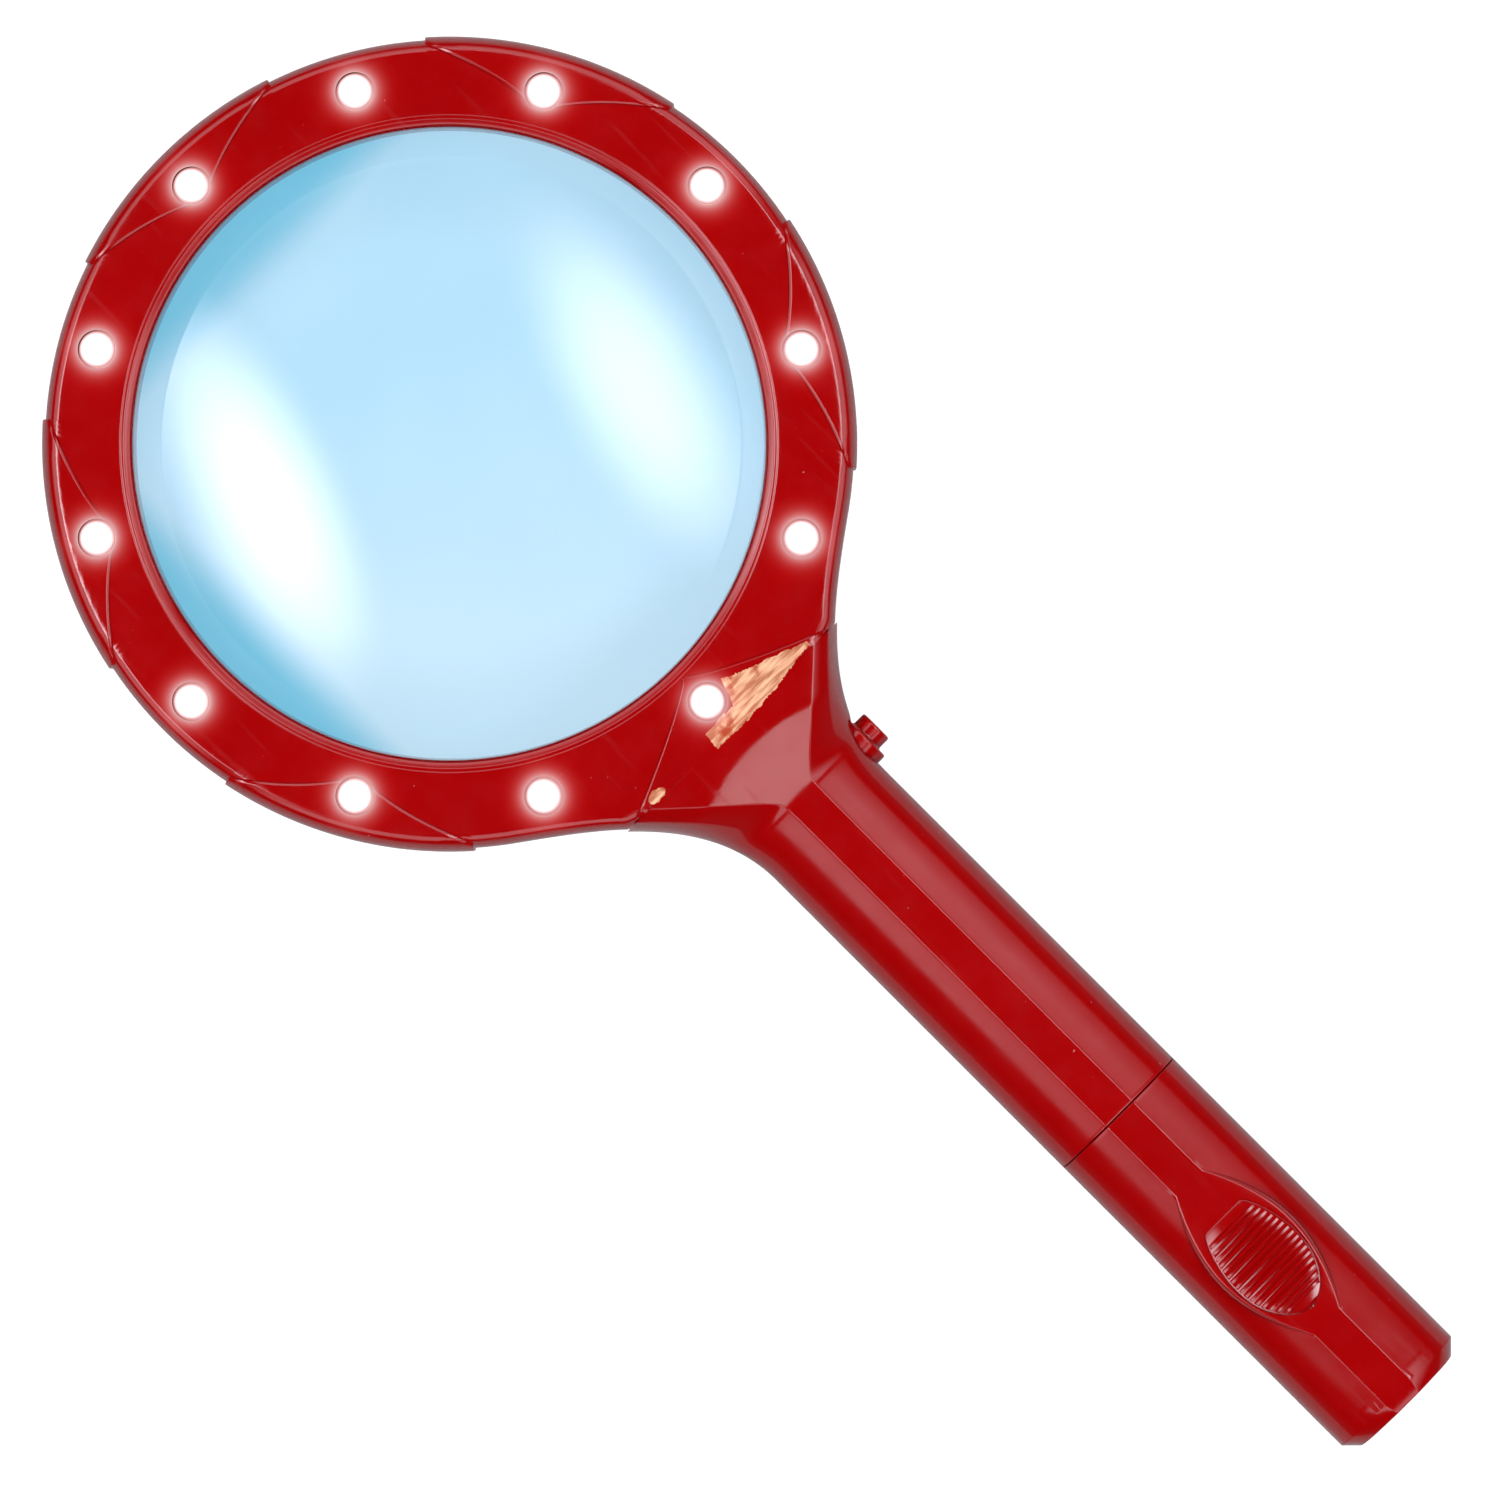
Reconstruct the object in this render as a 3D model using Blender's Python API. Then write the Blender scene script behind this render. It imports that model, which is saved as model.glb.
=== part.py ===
"""Hand magnifier with a lit ring: a 90 mm lens, twelve lamps, and a straight handle for two AA cells.

The magnifier lies on its back. +Z points out of the lamp side, the handle points to -Y and the push
button to +X. Sizes are in millimetres, and every mesh is made in metres by at(). In plan, u runs from
the lens centre along the handle, v towards the button, and angles are counted from the handle.
"""
import math

import bmesh
import bpy
from mathutils import Matrix, Vector

MM = 0.001
GAP = 0.3

# Heights above the table
FACE_Z = 19.6
HANDLE_TOP_Z = 18.4
SPLIT_Z = 9.2
FRONT_BOTTOM_Z = SPLIT_Z + GAP / 2
REAR_TOP_Z = SPLIT_Z - GAP / 2
FLOOR_Z = 1.8

# Ring
RING_RADIUS = 58.1
SIGHT_RADIUS = 45.15
FACE_STARTS = 46.9
RIM_ROUND = 2.05
RIM_TILTS = ((0, 0), (0.02, 15), (0.19, 24), (0.26, 60), (0.55, 74), (0.85, 84), (1, 90))
BACK_ROUND = 2.7
STEP_HALF = 0.15
PETAL_RAISE = 0.45
PETAL_HALF_ANGLE = 18.5
PETAL_ANGLES = (60, 120, 180, 240, 300)
LAMP_CIRCLE = 52.3
LAMP_COUNT = 12
CHANNEL_INNER = 48.7
CHANNEL_OUTER = 56.0
CHANNEL_TOP_Z = 17.4

# Handle and neck
HANDLE_END = 194.6
HANDLE_HALF = 11.15
CREST_HALF = 2.6
CREASE_HALF = 7.7
CREASE_DROP = 2.1
CREASE_SHARE = (CREASE_HALF - CREST_HALF) / (HANDLE_HALF - CREST_HALF)
FACET_SLOPE = CREASE_DROP / (CREASE_HALF - CREST_HALF)
SIDE_POWER = 2.6
END_CHAMFER = 1.95
NECK_LEAVES_RING = 35.5
NECK_ENDS = 77.5
NECK_PULL = 14.0
NECK_PROUD = 0.5
KEY_RAISE = 0.35
KEY_APEX = 47.2
KEY_ENDS = 57.4
PANEL_BENDS = 61.5
PANEL_TIP = 71.2
SEAM = 136.0
GRIP_STARTS = 150.0
GRIP_LENGTH = 28.0
HOLLOW_STARTS = 156.8
HOLLOW_LENGTH = 18.5
HOLLOW_DEPTHS = (0.15, 1.1)
RIB_STARTS = 158.6
RIB_PITCH = 0.95
RIB_WIDTH = 0.45
RIB_COUNT = 16

# Lens
LENS_RADIUS = 47.0
LENS_CURVE = 163.0
LENS_MID_Z = 9.8
LENS_HALF_THICK = 8.0

# Power
CELL_RADIUS = 7.1
CELL_LENGTH = 50.5
CELL_Z = 9.15
BORE_RADIUS = 7.55
BORE_STARTS = 83.0
BORE_ENDS = 192.7
UPPER_CELL_TIP = 84.2
LOWER_CELL_TIP = 135.0

# Button and switch
BUTTON_U = 72.0
BUTTON_Z = SPLIT_Z
BUTTON_BASE_RADIUS = 3.95
BUTTON_BASE_TOP = 12.6
BUTTON_NIB_RADIUS = 2.55
BUTTON_NIB_TOP = 14.8

# Screws
SCREW_ANGLES = (45, 105, 165, 195, 255, 315)
NECK_SCREW = (63.5, 9.5)

LENS_Y = (HANDLE_END - RING_RADIUS - PETAL_RAISE) / 2


def at(u, v, z):
    """The point in metres at u along the handle, v to the button side and height z."""
    return Vector((v, LENS_Y - u, z)) * MM


def polar(angle, radius, z):
    turn = math.radians(angle)
    return at(radius * math.cos(turn), radius * math.sin(turn), z)


# ---------------------------------------------------------------- building blocks


def clear_scene():
    for obj in list(bpy.data.objects):
        bpy.data.objects.remove(obj, do_unlink=True)


def object_from(name, mesh_data):
    """A new object from a bmesh, with its normals turned out."""
    bmesh.ops.remove_doubles(mesh_data, verts=mesh_data.verts, dist=1e-7)
    bmesh.ops.recalc_face_normals(mesh_data, faces=mesh_data.faces)
    mesh = bpy.data.meshes.new(name)
    mesh_data.to_mesh(mesh)
    mesh_data.free()
    obj = bpy.data.objects.new(name, mesh)
    bpy.context.scene.collection.objects.link(obj)
    return obj


def loft(name, loops, closed=False):
    """A solid through loops of the same number of points, capped at both ends or closed on itself."""
    mesh_data = bmesh.new()
    rows = [[mesh_data.verts.new(point) for point in loop] for loop in loops]
    pairs = list(zip(rows, rows[1:]))
    if closed:
        pairs.append((rows[-1], rows[0]))
    count = len(rows[0])
    for low, high in pairs:
        for i in range(count):
            j = (i + 1) % count
            mesh_data.faces.new((low[i], low[j], high[j], high[i]))
    if not closed:
        mesh_data.faces.new(rows[0])
        mesh_data.faces.new(rows[-1])
    return object_from(name, mesh_data)


def lathe(name, profile, sides, centre=Vector((0, 0, 0))):
    """A round solid about the vertical line through centre, from (radius, height) pairs."""
    loops = []
    for i in range(sides):
        turn = 2 * math.pi * i / sides
        ray = Vector((math.cos(turn), math.sin(turn), 0))
        loops.append([centre + (ray * r + Vector((0, 0, z))) * MM for r, z in profile])
    return loft(name, loops, closed=True)


def ring_lathe(name, profile, sides):
    return lathe(name, profile, sides, at(0, 0, 0))


def box(name, u, v, z):
    """A block between two u, two v and two z values."""
    loops = []
    for height in z:
        corners = ((u[0], v[0]), (u[1], v[0]), (u[1], v[1]), (u[0], v[1]))
        loops.append([at(a, b, height) for a, b in corners])
    return loft(name, loops)


def rod(name, start, end, radius, sides=16):
    """A round bar between two points in metres, its radius in millimetres."""
    axis = end - start
    frame = axis.to_track_quat("Z", "Y").to_matrix()
    loops = []
    for base in (start, end):
        turns = (2 * math.pi * i / sides for i in range(sides))
        loops.append([base + frame @ Vector((math.cos(t), math.sin(t), 0)) * radius * MM for t in turns])
    return loft(name, loops)


def post(name, u, v, z, radius, sides=12):
    return rod(name, at(u, v, z[0]), at(u, v, z[1]), radius, sides)


def combine(obj, tool, operation):
    """obj joined with, or cut by, another object, which is used up.

    The MANIFOLD solver is used because EXACT opens the split plane, where many flat faces share edges.
    """
    modifier = obj.modifiers.new(operation.lower(), "BOOLEAN")
    modifier.solver = "MANIFOLD"
    modifier.operation = operation
    modifier.object = tool
    bpy.context.view_layer.update()
    graph = bpy.context.evaluated_depsgraph_get()
    mesh = bpy.data.meshes.new_from_object(obj.evaluated_get(graph))
    obj.modifiers.clear()
    obj.data = mesh
    bpy.data.objects.remove(tool, do_unlink=True)


def join(obj, tool):
    combine(obj, tool, "UNION")


def cut(obj, tool):
    combine(obj, tool, "DIFFERENCE")


def move_origin(obj, point):
    """Puts the object's origin at a point without moving its shape."""
    obj.data.transform(Matrix.Translation(obj.location - point))
    obj.location = point


def material(name, colour, roughness, metallic=0.0, **extra):
    made = bpy.data.materials.new(name)
    made.use_nodes = True
    shader = made.node_tree.nodes["Principled BSDF"]
    shader.inputs["Base Color"].default_value = (*colour, 1)
    shader.inputs["Roughness"].default_value = roughness
    shader.inputs["Metallic"].default_value = metallic
    for socket, value in extra.items():
        shader.inputs[socket.replace("_", " ")].default_value = value
    return made


def finish(obj, look, smooth_angle=35):
    """Gives the object its material, and smooth shading below an edge angle."""
    obj.data.materials.clear()
    obj.data.materials.append(look)
    obj.data.shade_smooth()
    obj.data.set_sharp_from_angle(angle=math.radians(smooth_angle))
    return obj


def copies(first, names, places):
    """Objects that share the first one's mesh, each at its own place."""
    for name, place in zip(names, places):
        twin = bpy.data.objects.new(name, first.data)
        twin.location = place
        bpy.context.scene.collection.objects.link(twin)


# ---------------------------------------------------------------- outlines


def neck_curve():
    """Points (u, v) of the neck's side, from the ring's circle to the straight handle."""
    turn = math.radians(NECK_LEAVES_RING)
    start = Vector((math.cos(turn), math.sin(turn))) * RING_RADIUS
    end = Vector((NECK_ENDS, HANDLE_HALF))
    first = start + Vector((math.sin(turn), -math.cos(turn))) * NECK_PULL
    second = end - Vector((NECK_PULL, 0))
    points = []
    for i in range(101):
        t = i / 100
        s = 1 - t
        points.append(start * s**3 + first * 3 * s * s * t + second * 3 * s * t * t + end * t**3)
    return points


NECK_POINTS = neck_curve()


def blend(x, low, high):
    """0 below low, 1 above high, and a smooth rise between."""
    t = min(1.0, max(0.0, (x - low) / (high - low)))
    return t * t * (3 - 2 * t)


def lerp(a, b, t):
    return a + (b - a) * t


def between(x, pairs):
    """The second value of the pairs, read at x on the first, in straight lines."""
    for (x0, y0), (x1, y1) in zip(pairs, pairs[1:]):
        if x <= x1:
            return lerp(y0, y1, (x - x0) / (x1 - x0))
    return pairs[-1][1]


def half_width(u):
    """Half the neck's or the handle's width, which stands proud of the ring's outline past the keystone."""
    proud = NECK_PROUD * (1 - blend(u, KEY_ENDS, NECK_ENDS)) if u >= KEY_ENDS else -NECK_PROUD
    return between(u, [(p.x, p.y) for p in NECK_POINTS]) + proud


def outline_radius(angle):
    """The ring's outer radius, which runs out into the neck near the handle."""
    angle = abs((angle + 180) % 360 - 180)
    if angle >= NECK_LEAVES_RING:
        return RING_RADIUS
    pairs = [(math.degrees(math.atan2(p.y, p.x)), p.length) for p in reversed(NECK_POINTS)]
    return between(max(angle, 20), pairs)


def keystone_half(u):
    """Half the width of the keystone panel where it lies on the ring."""
    return 1.222 * max(u - KEY_APEX, 0) ** 1.212


def petal_edge(offset):
    """Radius of a petal's edge at an angle from its middle."""
    return 49.6 + 7.9 * (abs(offset) / PETAL_HALF_ANGLE) ** 0.95


# ---------------------------------------------------------------- housing shapes


def ring_angles():
    """Where the ring's sections stand: closer together at a petal's steps."""
    petal = (-18.6, -18.4, -14, -9, -5, -2, 0, 2, 5, 9, 14, 18.4, 18.6)
    angles = [middle + step for middle in PETAL_ANGLES for step in petal]
    angles += [middle + step for middle in (90, 150, 210, 270) for step in (-5.7, 0, 5.7)]
    for step in (6, 12, 17, 20, 23, 26, 29, 32, 36):
        angles += [step, 360 - step]
    return sorted(angles + [0])


def petal_offset(angle):
    """The angle from the nearest petal's middle, or None between petals."""
    for middle in PETAL_ANGLES:
        if abs(angle - middle) < PETAL_HALF_ANGLE:
            return angle - middle
    return None


def rim_curve():
    """(distance, out, down, tilt) along the rim, from the flat face over a narrow slope to upright."""
    count = 60
    out, down, rows = 0.0, 0.0, []
    for step in range(count + 1):
        tilt = math.radians(between(step / count, RIM_TILTS))
        rows.append((step / count, out, down, tilt))
        out += math.cos(tilt) / count
        down += math.sin(tilt) / count
    scale = RIM_ROUND / rows[-1][1]
    return [(along * scale, o * scale, z * scale, tilt) for along, o, z, tilt in rows]


RIM = rim_curve()
RIM_LENGTH = RIM[-1][0]
RIM_DROP = RIM[-1][2]


def step_mark(radius, outer):
    """Distance along the face, from its inner edge over the rim, at which it reaches a radius."""
    flat = outer - RIM_ROUND
    if radius <= flat:
        return radius - FACE_STARTS
    return flat - FACE_STARTS + between(radius - flat, [(out, along) for along, out, _, _ in RIM])


def ring_face_section(angle):
    """(radius, height) pairs over the ring's lamp side, from the lens opening out and down to the split."""
    outer = outline_radius(angle)
    flat = outer - RIM_ROUND - FACE_STARTS
    rim_ends = flat + RIM_LENGTH
    bottom = rim_ends + FACE_Z - RIM_DROP - FRONT_BOTTOM_Z
    offset = petal_offset(angle)
    edge = rim_ends if offset is None else step_mark(petal_edge(offset), outer)
    marks = [0, flat, flat + 0.19 * RIM_LENGTH, flat + 0.27 * RIM_LENGTH, flat + 0.6 * RIM_LENGTH]
    marks += [rim_ends, bottom, min(edge - STEP_HALF, bottom - 0.2), min(edge + STEP_HALF, bottom - 0.1)]
    section = [(SIGHT_RADIUS, 11.8), (45.4, 18.3), (45.9, 19.25)]
    for mark in sorted(marks):
        lift = PETAL_RAISE if offset is not None and mark > edge else 0
        past = max(mark - flat, 0)
        out, down, tilt = (between(past, [(row[0], row[column]) for row in RIM]) for column in (1, 2, 3))
        radius = FACE_STARTS + min(mark, flat) + out + lift * math.sin(tilt)
        section.append((radius, FACE_Z - down + lift * math.cos(tilt) - max(mark - rim_ends, 0)))
    return section


def ring_front_solid():
    collar = [(48.1, FRONT_BOTTOM_Z), (48.1, 6.0), (47.3, 6.0), (47.3, 11.8)]
    loops = [[polar(a, r, z) for r, z in ring_face_section(a) + collar] for a in ring_angles()]
    return loft("front_shell", loops, closed=True)


def ring_back_section(angle):
    """(radius, height) pairs of the ring's back half."""
    outer = outline_radius(angle)
    if petal_offset(angle) is not None:
        outer += PETAL_RAISE
    section = [(49.4, REAR_TOP_Z), (49.4, 5.7), (SIGHT_RADIUS, 5.7), (45.35, 0.9), (46.3, 0)]
    for step in range(4):
        turn = math.pi / 2 * step / 3
        drop = BACK_ROUND * (1 - math.cos(turn))
        section.append((outer - BACK_ROUND + BACK_ROUND * math.sin(turn), drop))
    section.append((outer, REAR_TOP_Z))
    return section


def ring_back_solid():
    loops = [[polar(a, r, z) for r, z in ring_back_section(a)] for a in ring_angles()]
    return loft("rear_shell", loops, closed=True)


def crest(u):
    """Height of the neck's panel and of the handle's crest."""
    slope = min(1, max(0, (u - PANEL_BENDS) / (PANEL_TIP - PANEL_BENDS)))
    return lerp(FACE_Z + KEY_RAISE, HANDLE_TOP_Z, slope)


def front_half_section(u, inset=0.0):
    """(v, z) pairs of the lamp side of the neck or handle, from the middle out to the split."""
    width = half_width(u) - inset
    flat = min(max(CREST_HALF, 3.0 + 1.08 * (70 - u)) - inset * 0.3, width - 1.5)
    crease = lerp(flat, width, CREASE_SHARE)
    top = crest(u) - inset * 0.9
    high = top - FACET_SLOPE * (crease - flat)
    section = [(0, top), (flat, top), (crease, high)]
    reach = crease / width
    full = (high - SPLIT_Z) / (1 - reach**SIDE_POWER) ** (1 / SIDE_POWER)
    first_turn = math.acos(reach ** (SIDE_POWER / 2))
    for step in (0.72, 0.45, 0.2, 0.0):
        turn = first_turn * step
        height = SPLIT_Z + full * math.sin(turn) ** (2 / SIDE_POWER)
        section.append((width * math.cos(turn) ** (2 / SIDE_POWER), max(height, FRONT_BOTTOM_Z)))
    return section


def clipped(section, limit):
    """The same points, with those past the limit on a wall straight down."""
    kept = [point for point in section if point[0] <= limit]
    missing = len(section) - len(kept)
    if not missing:
        return section
    step = (kept[-1][1] - 0.01 - FRONT_BOTTOM_Z) / missing
    tops = [kept[-1][1] - 0.01 - step * i for i in range(missing)]
    return kept + [(limit, z) for z in tops[:-1]] + [(limit, FRONT_BOTTOM_Z)]


def mirrored(section):
    """The whole section from its right half, which starts on the middle line."""
    return [(-v, z) for v, z in reversed(section[1:])] + section


def neck_front_solid(name, stations):
    loops = []
    for u in stations:
        section = front_half_section(u)
        if u < KEY_ENDS:
            section = clipped(section, keystone_half(u))
        loops.append([at(u, v, z) for v, z in mirrored(section)])
    return loft(name, loops)


def rear_half_section(u, inset=0.0):
    """(v, z) pairs of the back of the neck or handle, from the split in to the middle."""
    width = half_width(u) - inset
    flat = width - 5.15 + inset * 0.4
    bottom = inset * 0.9
    section = []
    for step in range(5):
        turn = math.pi / 2 * step / 4
        height = REAR_TOP_Z - (REAR_TOP_Z - bottom) * math.sin(turn)
        section.append((flat + (width - flat) * math.cos(turn), height))
    return section + [(0, bottom)]


def neck_back_solid(name, stations):
    loops = []
    for u in stations:
        half = rear_half_section(u)
        loops.append([at(u, v, z) for v, z in half + [(-v, z) for v, z in reversed(half[:-1])]])
    return loft(name, loops)


def neck_cavity():
    loops = []
    for u in (58.5, 60.5, 63, 66, 69, 72, 76, 81.4):
        front = front_half_section(u, 2.0)
        rear = rear_half_section(u, 2.0)
        half = front[:-1] + rear
        loops.append([at(u, v, z) for v, z in half + [(-v, z) for v, z in reversed(half[1:-1])]])
    return loft("neck_cavity", loops)


def bore(name, start, end):
    return rod(name, at(start, 0, CELL_Z), at(end, 0, CELL_Z), BORE_RADIUS, 32)


def cut_insides(shell, low_z):
    """The lamp channel, the way into the neck, the switch space and the way for the wires."""
    channel = [(CHANNEL_INNER, FLOOR_Z), (CHANNEL_OUTER, FLOOR_Z)]
    channel += [(CHANNEL_OUTER, CHANNEL_TOP_Z), (CHANNEL_INNER, CHANNEL_TOP_Z)]
    cut(shell, ring_lathe("channel", channel, 48))
    cut(shell, box("passage", (54, 60), (-8, 8), (low_z, 16.5)))
    cut(shell, neck_cavity())
    cut(shell, rod("wire_way", at(80.5, -4.5, SPLIT_Z), at(84, -4.5, SPLIT_Z), 1.2, 12))


def button_hole():
    radius = BUTTON_BASE_RADIUS + GAP
    return rod("button_hole", at(BUTTON_U, 7, BUTTON_Z), at(BUTTON_U, 18, BUTTON_Z), radius, 24)


def screw_places():
    """(u, v) of every screw, the ring's first."""
    places = []
    for angle in SCREW_ANGLES:
        turn = math.radians(angle)
        places.append((LAMP_CIRCLE * math.cos(turn), LAMP_CIRCLE * math.sin(turn)))
    u, v = NECK_SCREW
    return places + [(u, v), (u, -v)]


def lamp_places():
    turns = [2 * math.pi * i / LAMP_COUNT for i in range(LAMP_COUNT)]
    return [(LAMP_CIRCLE * math.cos(t), LAMP_CIRCLE * math.sin(t)) for t in turns]


# ---------------------------------------------------------------- housing


def make_front_shell(red):
    shell = ring_front_solid()
    keystone = [47.6, 48.8, 50.5, 52.5, 54.5, 56.2, KEY_ENDS - 0.05, KEY_ENDS + 0.05]
    neck = [59.5, PANEL_BENDS, 63.8, 66, 68.2, 70, PANEL_TIP, 74, NECK_ENDS]
    join(shell, neck_front_solid("neck", keystone + neck + [SEAM - GAP / 2]))
    cut_insides(shell, FRONT_BOTTOM_Z - 1)
    cut(shell, bore("bore", BORE_STARTS, SEAM + 1))
    cut(shell, button_hole())
    for side in (-1, 1):
        edges = sorted((5.7 * side, 7.7 * side))
        cut(shell, box("tongue_slot", (132.2, SEAM + 1), edges, (13.4, 15.0)))
    join(shell, box("switch_pad", (69, 75), (-1.5, 3.5), (13.5, 17.0)))
    for u, v in screw_places():
        join(shell, post("boss", u, v, (FRONT_BOTTOM_Z, 18.2), 2.3))
        cut(shell, post("pilot", u, v, (8, 15.5), 1.4, 8))
    for u, v in lamp_places():
        cut(shell, post("lamp_hole", u, v, (16, 22), 2.8, 12))
    finish(shell, red)


def make_rear_shell(red):
    shell = ring_back_solid()
    stations = [50, 53, 55.5, KEY_ENDS, 59.5, 61.5, 63.8, 66, 68.2, PANEL_TIP, 74, NECK_ENDS]
    join(shell, neck_back_solid("neck", stations + [HANDLE_END - END_CHAMFER]))
    tail = neck_back_solid("tail", [HANDLE_END - END_CHAMFER - 0.5, HANDLE_END])
    chamfer_tail(tail)
    join(shell, tail)
    cut_insides(shell, 3.5)
    cut(shell, bore("bore", BORE_STARTS, BORE_ENDS))
    cut(shell, button_hole())
    cut(shell, box("strip_groove", (78.5, BORE_ENDS), (-1.9, 1.9), (0.75, 1.95)))
    join(shell, box("switch_cradle", (69, 75), (-1.5, 3.5), (1.2, 4.9)))
    for side in (-1, 1):
        join(shell, box("rail", (138, 190.5), sorted((7.75 * side, 9.1 * side)), (8.5, 12.0)))
        join(shell, box("rail_head", (138, 190.5), sorted((8.9 * side, 9.6 * side)), (11.0, 12.0)))
    for u, v in screw_places():
        join(shell, post("boss", u, v, (1.3, REAR_TOP_Z), 3.2))
        cut(shell, post("counterbore", u, v, (-1, 2.6), 2.5))
        cut(shell, post("clearance", u, v, (2, 10), 1.4, 8))
    finish(shell, red)


def chamfer_tail(obj):
    """Narrows the end of the handle, so that its corners are cut at 45 degrees."""
    end_y = at(HANDLE_END, 0, 0).y
    factor = (HANDLE_HALF - END_CHAMFER) / HANDLE_HALF
    for vertex in obj.data.vertices:
        if abs(vertex.co.y - end_y) < 1e-6:
            vertex.co.x *= factor
            vertex.co.z += (SPLIT_Z * MM - vertex.co.z) * 0.05


def grip_half(u):
    """Half the width of the flat land around the thumb grip."""
    share = min(1, max(0, (u - GRIP_STARTS) / GRIP_LENGTH))
    return CREST_HALF + 4.1 * math.sin(math.pi * share) ** 0.9


def grip_land():
    stations = [GRIP_STARTS + GRIP_LENGTH * i / 16 for i in range(17)]
    loops = []
    for u in stations:
        half = grip_half(u)
        low = half + 0.5
        corners = ((-low, 14.5), (low, 14.5), (half, HANDLE_TOP_Z), (-half, HANDLE_TOP_Z))
        loops.append([at(u, v, z) for v, z in corners])
    return loft("grip_land", loops)


def recess_half(u):
    """Half the width of the thumb grip's hollow: straight across where shallow, round where deep."""
    share = min(1, max(0, (u - HOLLOW_STARTS) / HOLLOW_LENGTH))
    straight = 3.2 * (1 - share) ** 0.5
    return straight + 5.0 * math.sin(math.pi * min(1, share * 1.02)) ** 0.55 * (0.55 + 0.45 * share)


def recess_floor(u):
    share = (u - HOLLOW_STARTS) / HOLLOW_LENGTH
    return HANDLE_TOP_Z - lerp(*HOLLOW_DEPTHS, share)


def grip_recess():
    reach = HOLLOW_LENGTH - 0.1
    stations = [HOLLOW_STARTS + reach * (1 - math.cos(math.pi * i / 14)) / 2 for i in range(15)]
    loops = []
    for u in stations:
        half = recess_half(u) + 0.05
        corners = ((-half, recess_floor(u)), (half, recess_floor(u)), (half + 0.3, 20), (-half - 0.3, 20))
        loops.append([at(u, v, z) for v, z in corners])
    return loft("grip_recess", loops)


def make_battery_cover(red):
    cover = neck_front_solid("battery_cover", [SEAM + GAP / 2, HANDLE_END - END_CHAMFER])
    tail = neck_front_solid("tail", [HANDLE_END - END_CHAMFER - 0.5, HANDLE_END])
    chamfer_tail(tail)
    join(cover, tail)
    join(cover, grip_land())
    cut(cover, bore("bore", SEAM - 1, BORE_ENDS))
    for side in (-1, 1):
        cut(cover, box("rail_way", (SEAM - 1, 191), sorted((6.5 * side, 9.4 * side)), (8, 12.3)))
        cut(cover, box("head_way", (SEAM - 1, 191), sorted((9.0 * side, 9.9 * side)), (10.7, 12.3)))
        join(cover, box("tongue", (132.5, 139), sorted((6.0 * side, 7.4 * side)), (13.7, 14.7)))
    cut(cover, grip_recess())
    for i in range(RIB_COUNT):
        u = RIB_STARTS + RIB_PITCH * i
        half = recess_half(u + 0.2) - 0.35
        top = recess_floor(u) + 0.45
        join(cover, box("rib", (u, u + RIB_WIDTH), (-half, half), (top - 0.75, top)))
    finish(cover, red)
    move_origin(cover, at(SEAM, 0, SPLIT_Z))


def make_screws(steel):
    """Pan-head screws with a cross recess, heads down, their origin on the head's top."""
    head = [(0, 0), (1.6, 0), (2.1, 0.5), (2.1, 1.5), (1.1, 1.5), (1.1, 12.4), (0.6, 13.2), (0, 13.2)]
    screw = lathe("ring_screw_1", head, 10)
    for size in ((2.2, 0.5), (0.5, 2.2)):
        slot = box("slot", (-size[0] / 2, size[0] / 2), (-size[1] / 2, size[1] / 2), (-1, 0.8))
        slot.data.transform(Matrix.Translation(-at(0, 0, 0)))
        cut(screw, slot)
    finish(screw, steel)
    places = [at(u, v, 0.8) for u, v in screw_places()]
    screw.location = places[0]
    names = [f"ring_screw_{i}" for i in range(2, 7)] + ["neck_screw_1", "neck_screw_2"]
    copies(screw, names, places[1:])


# ---------------------------------------------------------------- optics and lamps


def make_lens(clear):
    half = []
    for i in range(7):
        radius = LENS_RADIUS * i / 6
        sag = LENS_CURVE - math.sqrt(LENS_CURVE**2 - radius**2)
        half.append((radius, LENS_HALF_THICK - sag))
    profile = [(r, LENS_MID_Z - h) for r, h in half] + [(r, LENS_MID_Z + h) for r, h in reversed(half)]
    finish(ring_lathe("lens", profile, 48), clear)
    clamp = [(45.4, 6.0), (47.0, 6.0), (47.0, 8.0), (45.4, 8.0)]
    finish(ring_lathe("lens_retaining_ring", clamp, 48), material("clamp_black", (0.03, 0.03, 0.03), 0.5))


def make_lamps(epoxy):
    dome = [(2.5 * math.cos(t), 6.1 + 2.5 * math.sin(t)) for t in (0, 0.5, 1.0)]
    profile = [(0, 0), (2.9, 0), (2.9, 1.0), (2.5, 1.0)] + dome + [(0, 8.6)]
    lamp = lathe("led_01", profile, 12)
    for side in (-1, 1):
        leg = box("leg", (-0.25, 0.25), (1.27 * side - 0.25, 1.27 * side + 0.25), (-3.6, 0.3))
        leg.data.transform(Matrix.Translation(-at(0, 0, 0)))
        join(lamp, leg)
    finish(lamp, epoxy)
    places = [at(u, v, 12.1) for u, v in lamp_places()]
    lamp.location = places[0]
    copies(lamp, [f"led_{i:02d}" for i in range(2, 13)], places[1:])


def make_led_board(green):
    board = ring_lathe("led_board", [(48.9, 9.4), (55.7, 9.4), (55.7, 11.0), (48.9, 11.0)], 48)
    join(board, box("tab", (54, 60.5), (-5, 5), (9.4, 11.0)))
    for u, v in lamp_places():
        for side in (-1, 1):
            middle = v + 1.27 * side
            cut(board, box("leg_hole", (u - 0.55, u + 0.55), (middle - 0.55, middle + 0.55), (8, 12)))
    for u, v in screw_places()[:6]:
        cut(board, post("boss_hole", u, v, (8, 12), 2.6))
    finish(board, green)


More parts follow.
